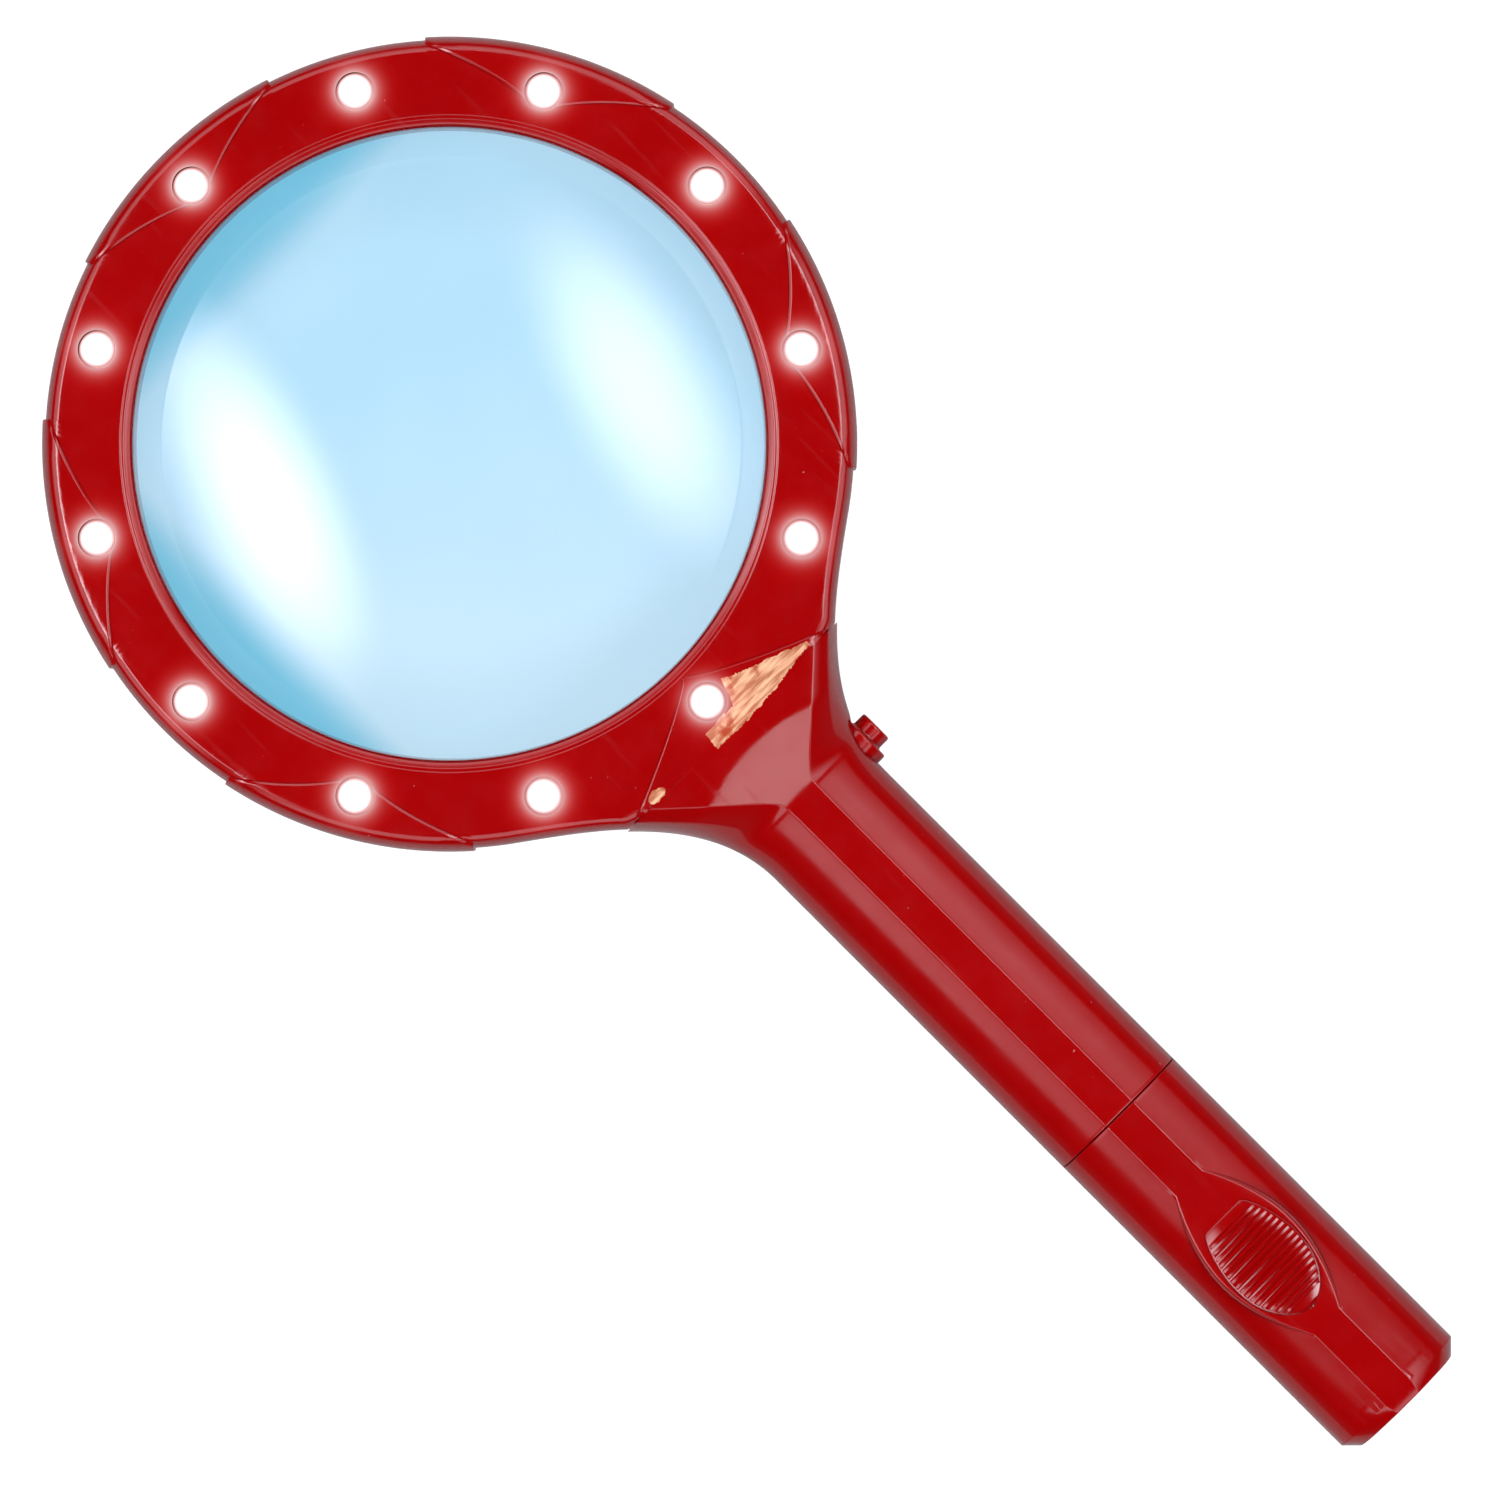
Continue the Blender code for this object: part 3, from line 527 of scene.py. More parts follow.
def rear_half(u, inset=0.0):
    """(v, z) pairs of the back of the neck or handle, from the split in to the middle."""
    width = half_width(u) - inset
    flat = width - 5.15 + inset * 0.4
    bottom = inset * 0.9
    section = []
    for turn in spread(0, math.pi / 2, 14):
        height = REAR_TOP_Z - (REAR_TOP_Z - bottom) * math.sin(turn)
        section.append((flat + (width - flat) * math.cos(turn), height))
    return section + [(v, bottom) for v in spread(flat, 0, 3)[1:]]


def neck_back_solid(name, stations):
    loops = []
    for u, inset in stations:
        half = rear_half(u, inset)
        loops.append(slice_at(u, half + mirrored(half[:-1])))
    return loft(name, loops)


def neck_cavity():
    """The room for the switch and its wires, with walls of 2 mm."""
    loops = []
    for u in spread(58.5, 81.4, 12):
        half = front_half(u, 2.0)[:-1] + rear_half(u, 2.0)
        loops.append(slice_at(u, half + mirrored(half[1:-1])))
    return loft("neck_cavity", loops)


def bore(start, end):
    return rod("bore", at(start, 0, CELL_Z), at(end, 0, CELL_Z), BORE_RADIUS, 96)


def cut_insides(shell, low_z):
    """Cuts the lamps' channel, the way from it to the neck, and the neck's openings."""
    channel = [(CHANNEL_INNER, FLOOR_Z), (CHANNEL_OUTER, FLOOR_Z)]
    channel += [(CHANNEL_OUTER, CHANNEL_TOP_Z), (CHANNEL_INNER, CHANNEL_TOP_Z)]
    cut(shell, lathe("channel", channel, 144, at(0, 0, 0)))
    cut(shell, box("passage", (54, 60), (-8, 8), (low_z, 16.5)))
    cut(shell, neck_cavity())
    cut(shell, rod("wire_way", at(80.5, -4.5, SPLIT_Z), at(84, -4.5, SPLIT_Z), 1.2, 24))
    radius = BUTTON_BASE_RADIUS + GAP
    cut(shell, rod("button_hole", at(BUTTON_U, 7, SPLIT_Z), at(BUTTON_U, 18, SPLIT_Z), radius))


def ring_places(angles, radius):
    turns = [math.radians(a) for a in angles]
    return [(radius * math.cos(t), radius * math.sin(t)) for t in turns]


def screw_places():
    u, v = NECK_SCREW
    return ring_places(SCREW_ANGLES, LAMP_CIRCLE) + [(u, v), (u, -v)]


def lamp_places():
    return ring_places([360 / LAMP_COUNT * i for i in range(LAMP_COUNT)], LAMP_CIRCLE)


def rounded_ends(start, end):
    """(u, inset) stations that round the edge of an end face."""
    turns = spread(0, math.pi / 2, 4)
    steps = [(EDGE_ROUND * (1 - math.sin(t)), EDGE_ROUND * (1 - math.cos(t))) for t in turns]
    first = [(start + along, inset) for along, inset in reversed(steps)]
    return first, [(end - along, inset) for along, inset in steps]


def make_front(red):
    shell = ring_front_solid()
    us = spread(47.5, 57.38, 24) + spread(57.42, 80, 40) + spread(82, SEAM - SEAM_GAP / 2 - 0.5, 16)
    ends = rounded_ends(0, SEAM - SEAM_GAP / 2)[1]
    join(shell, neck_front_solid("neck", [(u, 0) for u in us] + ends))
    cut_insides(shell, FRONT_BOTTOM_Z - 1)
    cut(shell, bore(BORE_STARTS, SEAM + 1))
    for side in (-1, 1):
        slot = sorted((5.7 * side, 7.7 * side))
        cut(shell, box("tongue_slot", (132.2, SEAM + 1), slot, (13.4, 15.0)))
    join(shell, box("switch_pad", (69, 75), (-1.5, 3.5), (13.5, 17.0)))
    for u, v in screw_places():
        join(shell, post("boss", u, v, (FRONT_BOTTOM_Z, 18.2), 2.3))
        cut(shell, post("pilot", u, v, (8, 15.5), 1.4))
    for u, v in lamp_places():
        cut(shell, post("lamp_hole", u, v, (16, 22), 2.8, 64))
    return finish(shell, red, "handle_body", ["front_shell"])


def make_rear(red):
    shell = ring_back_solid()
    us = spread(50, 80, 50) + spread(82, HANDLE_END - END_CHAMFER, 16)
    join(shell, neck_back_solid("neck", [(u, 0) for u in us]))
    tail = neck_back_solid("tail", tail_stations())
    chamfer_tail(tail)
    join(shell, tail)
    cut_insides(shell, 3.5)
    cut(shell, bore(BORE_STARTS, BORE_ENDS))
    cut(shell, box("strip_groove", (78.5, BORE_ENDS), (-1.9, 1.9), (0.75, 1.95)))
    join(shell, box("switch_cradle", (69, 75), (-1.5, 3.5), (1.2, 4.9)))
    for side in (-1, 1):
        rail, head = sorted((7.75 * side, 9.1 * side)), sorted((8.9 * side, 9.6 * side))
        join(shell, box("rail", (RAIL_STARTS, RAIL_ENDS), rail, (8.5, RAIL_TOP_Z)))
        join(shell, box("rail_head", (RAIL_STARTS, RAIL_ENDS), head, (11.0, RAIL_TOP_Z)))
    for u, v in screw_places():
        join(shell, post("boss", u, v, (1.3, REAR_TOP_Z), 3.2))
        cut(shell, post("counterbore", u, v, (-1, 2.6), 2.5))
        cut(shell, post("clearance", u, v, (2, 10), 1.4))
    finish(shell, red, "handle_body", ["rear_shell"])


def tail_stations():
    start = HANDLE_END - END_CHAMFER
    return [(start - 0.5, 0), (start - 0.2, 0), (start, 0)] + rounded_ends(start, HANDLE_END)[1]


def chamfer_tail(obj):
    """Narrows the end of the handle, so that its corners are cut at 45 degrees."""
    start_y = at(HANDLE_END - END_CHAMFER, 0, 0).y
    for vertex in obj.data.vertices:
        share = min(1, max(0, (start_y - vertex.co.y) / (END_CHAMFER * MM)))
        vertex.co.x *= 1 - share * END_CHAMFER / HANDLE_HALF
        vertex.co.z += (SPLIT_Z * MM - vertex.co.z) * 0.05 * share


# ---------------------------------------------------------------- battery cover


def grip_half(u):
    """Half the width of the flat land around the thumb grip."""
    t = min(1, max(0, (u - GRIP_STARTS) / GRIP_LENGTH))
    return CREST_HALF + GRIP_PROUD * math.sin(math.pi * t) ** 0.9


def recess_half(u):
    """Half the width of the thumb grip's hollow, which is straight across at its shallow end."""
    t = min(1, max(0, (u - HOLLOW_STARTS) / HOLLOW_LENGTH))
    round_end = 5.0 * math.sin(math.pi * min(1, t * 1.02)) ** 0.55 * (0.55 + 0.45 * t)
    return 3.2 * (1 - t) ** 0.5 + round_end


def recess_floor(u):
    """Height of the hollow's floor, which falls towards the tail."""
    return HANDLE_TOP_Z - 0.15 - 0.95 * (u - HOLLOW_STARTS) / HOLLOW_LENGTH


def grip_land():
    """The flat land round the grip, which swells out over the handle's facets."""
    loops = []
    for u in spread(GRIP_STARTS, GRIP_STARTS + GRIP_LENGTH, 56):
        half = grip_half(u)
        right = [(half + 0.9, 14.5), (half + 0.5, HANDLE_TOP_Z - 0.75)]
        right += [(half + 0.2, HANDLE_TOP_Z - 0.14), (half + 0.05, HANDLE_TOP_Z - 0.03)]
        right.append((half - 0.15, HANDLE_TOP_Z))
        loops.append(slice_at(u, right + mirrored(right)))
    return loft("grip_land", loops)


def grip_recess():
    loops = []
    for turn in spread(0, math.pi, 44):
        u = HOLLOW_STARTS + (HOLLOW_LENGTH - 0.1) * (1 - math.cos(turn)) / 2
        half = recess_half(u) + 0.05
        floor = recess_floor(u)
        right = [(half - 0.2, floor), (half - 0.05, floor + 0.05), (half, floor + 0.18)]
        right += [(half + 0.02, HANDLE_TOP_Z - 0.14), (half + 0.08, HANDLE_TOP_Z - 0.04)]
        right.append((half + 0.3, 20))
        loops.append(slice_at(u, right + mirrored(right)))
    return loft("grip_recess", loops)


def rib(index):
    """One flat-topped ridge across the thumb grip, with rounded edges and ends."""
    u = RIB_STARTS + RIB_PITCH * index
    half = recess_half(u + 0.2) - 0.35
    top = recess_floor(u) + 0.4
    ridge = [(0, -RIB_EDGE), (RIB_EDGE, 0), (RIB_WIDTH - RIB_EDGE, 0), (RIB_WIDTH, -RIB_EDGE)]
    ridge += [(RIB_WIDTH, -0.8), (0, -0.8)]
    loops = []
    for v in spread(-half, half, 24):
        drop = 0.3 * (abs(v) / half) ** 4
        loops.append([at(u + a, v, top + z - drop) for a, z in ridge])
    return loft("rib", loops)


def make_cover(red):
    first = rounded_ends(SEAM + SEAM_GAP / 2, 0)[0]
    us = spread(SEAM + 0.6, HANDLE_END - END_CHAMFER, 24)
    cover = neck_front_solid("battery_cover_skin", first + [(u, 0) for u in us])
    tail = neck_front_solid("tail", tail_stations())
    chamfer_tail(tail)
    join(cover, tail)
    join(cover, grip_land())
    cut(cover, bore(SEAM - 1, BORE_ENDS))
    for side in (-1, 1):
        cut(cover, box("rail_way", (SEAM - 1, 191), sorted((6.5 * side, 9.4 * side)), (8, 12.3)))
        cut(cover, box("head_way", (SEAM - 1, 191), sorted((9.0 * side, 9.9 * side)), (10.7, 12.3)))
        join(cover, box("tongue", (132.5, 139), sorted((6.0 * side, 7.4 * side)), (13.7, 14.7)))
    cut(cover, grip_recess())
    for index in range(RIB_COUNT):
        join(cover, rib(index))
    finish(cover, red, "cover", ["battery_cover"])


# ---------------------------------------------------------------- smaller pieces


def rounded(points, radius, steps=4):
    """The (a, b) points with each inner corner rounded."""
    made = [points[0]]
    for before, corner, after in zip(points, points[1:], points[2:]):
        a, b, c = (Vector(p) for p in (before, corner, after))
        reach = min(radius, (a - b).length * 0.45, (c - b).length * 0.45)
        start = b + (a - b).normalized() * reach
        end = b + (c - b).normalized() * reach
        for t in spread(0, 1, steps):
            made.append(tuple(start * (1 - t) ** 2 + b * 2 * t * (1 - t) + end * t * t))
    return made + [points[-1]]


def make_button(red):
    base, nib = BUTTON_BASE_RADIUS, BUTTON_NIB_RADIUS
    outline = [(0, 6.9), (4.3, 6.9), (4.3, 7.7), (base, 7.7), (base, BUTTON_BASE_TOP)]
    outline += [(nib, BUTTON_BASE_TOP), (nib, BUTTON_NIB_TOP), (0, BUTTON_NIB_TOP)]
    button = lathe("button_cap_skin", rounded(outline, 0.4), 72)
    button.data.transform(Matrix.Rotation(math.pi / 2, 4, "Y"))
    button.data.transform(Matrix.Translation(at(BUTTON_U, 0, SPLIT_Z)))
    finish(button, red, "button", ["button_cap"])


def make_lens(clear):
    """The lens: two shallow domes with a ground edge."""
    half = []
    for radius in spread(0, LENS_RADIUS, 40):
        sag = LENS_CURVE - math.sqrt(LENS_CURVE**2 - radius**2)
        half.append((radius, LENS_HALF_THICK - sag))
    profile = [(r, LENS_MID_Z - h) for r, h in half]
    profile += [(r, LENS_MID_Z + h) for r, h in reversed(half)]
    lens = lathe("lens_body", profile, 160, at(0, 0, 0))
    finish(lens, clear, "handle_body", ["lens"])


def make_lamps(epoxy):
    """Lamps of 5 mm: flange, body, dome and the two legs."""
    dome_z = 6.1
    turns = spread(0, math.pi / 2, 12)
    dome = [(LAMP_RADIUS * math.cos(t), dome_z + LAMP_RADIUS * math.sin(t)) for t in turns]
    flange = [(0, 0), (2.9, 0), (2.9, 1.0), (LAMP_RADIUS, 1.0), (LAMP_RADIUS, dome_z)]
    profile = rounded(flange, 0.15)[:-1] + dome
    for index, (u, v) in enumerate(lamp_places(), 1):
        lamp = lathe(f"lamp_{index:02d}", profile, 48)
        for side in (-1, 1):
            place = (1.27 * side - 0.25, 1.27 * side + 0.25)
            leg = box("leg", (-0.25, 0.25), place, (-3.6, 0.3))
            leg.data.transform(Matrix.Translation(-at(0, 0, 0)))
            join(lamp, leg)
        lamp.data.transform(Matrix.Translation(at(u, v, LAMP_BASE_Z)))
        finish(lamp, epoxy, "handle_body", [f"led_{index:02d}"])


def make_screws(steel):
    """Pan-head screws with a cross recess, their heads down."""
    outline = [(0, 0), (1.1, 0.02), (1.7, 0.2), (2.1, 0.62), (2.1, 1.5), (1.1, 1.5), (1.1, 12.4)]
    outline += [(0.6, 13.2), (0, 13.2)]
    names = [f"ring_screw_{i}" for i in range(1, 7)] + ["neck_screw_1", "neck_screw_2"]
    for name, (u, v) in zip(names, screw_places()):
        screw = lathe(name + "_body", rounded(outline, 0.3), 40)
        for size in ((1.55, 0.28), (0.28, 1.55)):
            loops = []
            for depth, share in ((-0.1, 1.0), (1.0, 0.45)):
                a, b = size[0] * share, size[1] * share
                corners = ((-a, -b), (a, -b), (a, b), (-a, b))
                loops.append([Vector((x, y, depth)) * MM for x, y in corners])
            cut(screw, loft("cross", loops))
        screw.data.transform(Matrix.Translation(at(u, v, 0.8)) @ Matrix.Rotation(u + v, 4, "Z"))
        finish(screw, steel, "handle_body", [name])


def coil(name, start, end, radii, wire, turns, steps=36, sides=10):
    """A round-wire helix from start to end in metres, its radius running through radii."""
    turned = (end - start).to_track_quat("Z", "Y").to_matrix()
    count = int(turns * steps)
    reach = (end - start).length / MM
    loops = []
    for t in spread(0, 1, count):
        turn = 2 * math.pi * turns * t
        out = Vector((math.cos(turn), math.sin(turn), 0))
        middle = out * lerp(radii[0], radii[1], t) + Vector((0, 0, wire + (reach - 2 * wire) * t))
        around = spread(0, 2 * math.pi, sides)[:-1]
        ring = (out * math.cos(a) + Vector((0, 0, math.sin(a))) for a in around)
        loops.append([start + turned @ (middle + point * wire) * MM for point in ring])
    return loft(name, loops)


def make_cells(sleeve):
    outline = [(0, 0), (2.7, 0), (2.7, 1.3), (CELL_RADIUS, 1.3), (CELL_RADIUS, CELL_LENGTH)]
    outline += [(6.3, CELL_LENGTH), (6.0, CELL_LENGTH - 0.25), (0, CELL_LENGTH - 0.25)]
    for name, tip in (("aa_cell_upper", UPPER_CELL_TIP), ("aa_cell_lower", LOWER_CELL_TIP)):
        cell = lathe(name + "_body", rounded(outline, 0.5), 72)
        cell.data.transform(Matrix.Rotation(math.pi / 2, 4, "X"))
        cell.data.transform(Matrix.Translation(at(tip, 0, CELL_Z)))
        finish(cell, sleeve, "handle_body", [name])


def make_contacts(nickel):
    start, end = at(191.7, 0, CELL_Z), at(185.8, 0, CELL_Z)
    spring = coil("tail_spring_coil", start, end, (4.3, 2.6), 0.4, 3.5)
    finish(spring, nickel, "handle_body", ["tail_spring"])


# ---------------------------------------------------------------- materials


def value(tree, operation, *inputs):
    """A Math node's output."""
    node = tree.nodes.new("ShaderNodeMath")
    node.operation = operation
    for socket, given in zip(node.inputs, inputs):
        if isinstance(given, bpy.types.NodeSocket):
            tree.links.new(given, socket)
        else:
            socket.default_value = given
    return node.outputs[0]


def ramp(tree, source, low, high, start=0.0, end=1.0, smooth=True):
    """Goes from start to end as the source goes from low to high."""
    node = tree.nodes.new("ShaderNodeMapRange")
    node.interpolation_type = "SMOOTHSTEP" if smooth else "LINEAR"
    tree.links.new(source, node.inputs["Value"])
    for name, given in (("From Min", low), ("From Max", high), ("To Min", start), ("To Max", end)):
        node.inputs[name].default_value = given
    return node.outputs["Result"]


def mix(tree, share, first, second):
    """A colour between two colours or sockets."""
    node = tree.nodes.new("ShaderNodeMix")
    node.data_type = "RGBA"
    for index, given in ((0, share), (6, first), (7, second)):
        socket = node.inputs[index]
        if isinstance(given, bpy.types.NodeSocket):
            tree.links.new(given, socket)
        else:
            socket.default_value = given if isinstance(given, float) else (*given, 1)
    return node.outputs[2]


def noise(tree, scale, detail=2.0, stretch=None, rough=0.5):
    """A noise value over the object's own coordinates, in metres."""
    place = tree.nodes.new("ShaderNodeTexCoord").outputs["Object"]
    if stretch:
        mapping = tree.nodes.new("ShaderNodeMapping")
        mapping.inputs["Scale"].default_value = stretch
        tree.links.new(place, mapping.inputs["Vector"])
        place = mapping.outputs[0]
    node = tree.nodes.new("ShaderNodeTexNoise")
    node.inputs["Scale"].default_value = scale
    node.inputs["Detail"].default_value = detail
    node.inputs["Roughness"].default_value = rough
    tree.links.new(place, node.inputs["Vector"])
    return node.outputs["Fac"]


def bump(tree, shader, height, distance, strength=1.0):
    node = tree.nodes.new("ShaderNodeBump")
    node.inputs["Distance"].default_value = distance
    node.inputs["Strength"].default_value = strength
    tree.links.new(height, node.inputs["Height"])
    tree.links.new(node.outputs["Normal"], shader.inputs["Normal"])


def new_material(name, colour=(0.8, 0.8, 0.8), roughness=0.4, metallic=0.0):
    made = bpy.data.materials.new(name)
    made.use_nodes = True
    tree = made.node_tree
    shader = tree.nodes["Principled BSDF"]
    shader.inputs["Base Color"].default_value = (*colour, 1)
    shader.inputs["Roughness"].default_value = roughness
    shader.inputs["Metallic"].default_value = metallic
    return made, tree, shader


def plan_place(tree):
    """Along and across from the lens's middle in millimetres, and the height in metres."""
    parts = tree.nodes.new("ShaderNodeSeparateXYZ")
    tree.links.new(tree.nodes.new("ShaderNodeTexCoord").outputs["Object"], parts.inputs[0])
    along = value(tree, "SUBTRACT", LENS_Y, value(tree, "MULTIPLY", parts.outputs[1], 1 / MM))
    return along, value(tree, "MULTIPLY", parts.outputs[0], 1 / MM), parts.outputs[2]


def length(tree, a, b):
    """The length of the vector (a, b)."""
    squares = value(tree, "ADD", value(tree, "MULTIPLY", a, a), value(tree, "MULTIPLY", b, b))
    return value(tree, "SQRT", squares)


def lamp_distance(tree, along, across):
    """Distance in millimetres, in plan, from the middle of the nearest lamp."""
    radius = length(tree, along, across)
    pitch = 2 * math.pi / LAMP_COUNT
    turn = value(tree, "ADD", value(tree, "ARCTAN2", across, along), pitch / 2)
    turn = value(tree, "SUBTRACT", value(tree, "FLOORED_MODULO", turn, pitch), pitch / 2)
    out = value(tree, "MULTIPLY", radius, value(tree, "COSINE", turn))
    out = value(tree, "SUBTRACT", out, LAMP_CIRCLE)
    return length(tree, value(tree, "MULTIPLY", radius, value(tree, "SINE", turn)), out)


def painted_reflection_patch(tree, along, across):
    """1 where a copper-coloured reflection is painted on the keystone's red.

    That is a strip across it, a wedge up its button side and a fleck.
    """
    rough = value(tree, "SUBTRACT", noise(tree, 450, 4, rough=0.7), 0.5)
    rough = value(tree, "MULTIPLY", rough, 1.6)
    u = value(tree, "ADD", along, rough)
    wedge = ramp(tree, across, 3.6, 16.5, 51.5, 56.4, False)
    strip = ramp(tree, across, 2.0, 4.2, 55.4, 51.0)
    low = value(tree, "MAXIMUM", wedge, strip)
    high = ramp(tree, across, 5.0, 16.5, 58.2, 56.9)
    below, above = value(tree, "GREATER_THAN", u, low), value(tree, "LESS_THAN", u, high)
    left = value(tree, "GREATER_THAN", value(tree, "ADD", across, rough), -3.7)
    right = value(tree, "LESS_THAN", across, 16.2)
    sides = value(tree, "MULTIPLY", left, right)
    inside = value(tree, "MULTIPLY", value(tree, "MULTIPLY", below, above), sides)
    fleck_v = value(tree, "MULTIPLY", value(tree, "ADD", across, 14.6), 0.5)
    fleck = length(tree, value(tree, "SUBTRACT", u, 56.8), fleck_v)
    return value(tree, "MAXIMUM", inside, value(tree, "LESS_THAN", fleck, 0.75))


def red_plastic():
    """Polished red ABS with flow marks, orange peel and scratches, plus painted lamp glow and
    reflection.
    """
    made, tree, shader = new_material("red_plastic_polished")
    flow = ramp(tree, noise(tree, 55, 4, rough=0.6), 0.3, 0.7)
    red = mix(tree, flow, (0.226, 0.0003, 0.0007), (0.240, 0.0005, 0.0010))
    dust = ramp(tree, noise(tree, 1500, 1), 0.80, 0.86)
    red = mix(tree, value(tree, "MULTIPLY", dust, 0.5), red, (0.6, 0.25, 0.25))
    along, across, height = plan_place(tree)
    # Painted reflection: a streaked copper patch on the keystone's top, standing in for a warm
    # object mirrored there.
    on_top = ramp(tree, height, 0.0185, 0.0190)
    wear_and_reflection = value(tree, "MULTIPLY", painted_reflection_patch(tree, along, across), on_top)
    grain = ramp(tree, noise(tree, 1500, 3, (0.16, 1.0, 1.0)), 0.36, 0.66)
    copper = mix(tree, grain, (0.34, 0.12, 0.06), (0.64, 0.38, 0.23))
    copper = mix(tree, ramp(tree, noise(tree, 300, 3), 0.55, 0.7), copper, (0.30, 0.05, 0.02))
    tree.links.new(mix(tree, wear_and_reflection, red, copper), shader.inputs["Base Color"])
    scratch = ramp(tree, noise(tree, 900, 2, (1.0, 0.05, 1.0)), 0.62, 0.72)
    polish = ramp(tree, noise(tree, 260, 3), 0.25, 0.75, 0.10, 0.15)
    rough = value(tree, "ADD", polish, value(tree, "MULTIPLY", scratch, 0.06))
    tree.links.new(rough, shader.inputs["Roughness"])
    shader.inputs["IOR"].default_value = 1.5
    # Painted glow: emission on the top face round each lamp, white close in and fading out through
    # red, stands in for the lamps' light on the plastic.
    distance = lamp_distance(tree, along, across)
    past = value(tree, "SUBTRACT", distance, 2.9)
    top = ramp(tree, height, 0.0185, 0.0192)
    fade = value(tree, "EXPONENT", value(tree, "MULTIPLY", past, -1 / 1.3))
    glow = value(tree, "MULTIPLY", value(tree, "MULTIPLY", fade, 0.34), top)
    white = value(tree, "EXPONENT", value(tree, "MULTIPLY", past, -0.9))
    colour = mix(tree, value(tree, "MINIMUM", white, 1.0), (1.0, 0.0, 0.0), (1.0, 1.0, 1.0))
    tree.links.new(colour, shader.inputs["Emission Color"])
    tree.links.new(glow, shader.inputs["Emission Strength"])
    bump(tree, shader, noise(tree, 700, 2), 0.00001, 0.25)
    return made


def clear_acrylic():
    """Blue-tinted lens that lets the lamps' rays through."""
    made, tree, shader = new_material("lens_acrylic", (0.75, 0.92, 1.0), 0.0)
    smear = ramp(tree, noise(tree, 40, 3), 0.45, 0.75, 0.0, 0.05)
    tree.links.new(smear, shader.inputs["Roughness"])
    shader.inputs["IOR"].default_value = 1.49
    shader.inputs["Transmission Weight"].default_value = 1.0
    cloudy = ramp(tree, noise(tree, 25, 2), 0.35, 0.7)
    tint = mix(tree, cloudy, (0.54, 0.79, 0.95), (0.60, 0.83, 0.98))
    along, across, _ = plan_place(tree)
    # Painted shading and reflections: the tint is lighter towards the handle and away from the
    # button, darker blue in crescents at the edges away from the handle and from the button, and
    # deeper blue towards the rim.
    lower = ramp(tree, value(tree, "SUBTRACT", along, across), -10, 55)
    tint = mix(tree, lower, tint, (0.68, 0.86, 0.97))
    painted_crescent_reflection = value(tree, "MAXIMUM", ramp(tree, along, -33, -42), ramp(tree, across, -33, -42))
    edge = ramp(tree, length(tree, along, across), 28, 45, 0.0, 0.16)
    tint = mix(tree, value(tree, "MAXIMUM", painted_crescent_reflection, edge), tint, (0.22, 0.62, 0.82))
    tree.links.new(tint, shader.inputs["Base Color"])
    through = tree.nodes.new("ShaderNodeBsdfTransparent")
    through.inputs[0].default_value = (0.72, 0.9, 1.0, 1)
    path = tree.nodes.new("ShaderNodeLightPath")
    chosen = tree.nodes.new("ShaderNodeMixShader")
    tree.links.new(path.outputs["Is Shadow Ray"], chosen.inputs[0])
    tree.links.new(shader.outputs[0], chosen.inputs[1])
    tree.links.new(through.outputs[0], chosen.inputs[2])
    tree.links.new(chosen.outputs[0], tree.nodes["Material Output"].inputs[0])
    return made


def lamp_epoxy():
    """A lit lamp: white in the middle and reddish by its hole."""
    made, tree, shader = new_material("lamp_epoxy_lit", (0.4, 0.32, 0.32), 0.12)
    shader.inputs["Specular IOR Level"].default_value = 0.3
    cloudy = ramp(tree, noise(tree, 900, 2), 0.2, 0.8, 0.94, 1.06)
    distance = lamp_distance(tree, *plan_place(tree)[:2])
    glow = ramp(tree, distance, 1.4, 3.0, 1.3, 0.45)
    tree.links.new(value(tree, "MULTIPLY", glow, cloudy), shader.inputs["Emission Strength"])
    colour = mix(tree, ramp(tree, distance, 1.6, 3.1), (1.0, 0.98, 0.98), (1.0, 0.3, 0.3))
    tree.links.new(colour, shader.inputs["Emission Color"])
    return made


def metal(name, colour, roughness, grain):
    """Plated metal, patchily dulled."""
    made, tree, shader = new_material(name, colour, roughness, 1.0)
    wear_and_reflection = ramp(tree, noise(tree, grain, 4), 0.3, 0.7)
    dark = tuple(c * 0.72 for c in colour)
    tree.links.new(mix(tree, wear_and_reflection, dark, colour), shader.inputs["Base Color"])
    dull = ramp(tree, noise(tree, grain * 3, 3), 0.3, 0.7, roughness * 0.7, roughness * 1.4)
    tree.links.new(dull, shader.inputs["Roughness"])
    bump(tree, shader, noise(tree, grain * 5, 2), 0.00001, 0.2)
    return made


def moulded(name, colour, roughness, grain=1200):
    """Plain moulded plastic with faint flow marks and a fine texture."""
    made, tree, shader = new_material(name, colour, roughness)
    flow = ramp(tree, noise(tree, grain / 8, 3), 0.3, 0.7)
    light = tuple(min(1, c * 1.25 + 0.01) for c in colour)
    tree.links.new(mix(tree, flow, colour, light), shader.inputs["Base Color"])
    dull = ramp(tree, noise(tree, grain / 2, 2), 0.3, 0.7, roughness * 0.8, roughness * 1.2)
    tree.links.new(dull, shader.inputs["Roughness"])
    bump(tree, shader, noise(tree, grain, 2), 0.00002, 0.3)
    return made


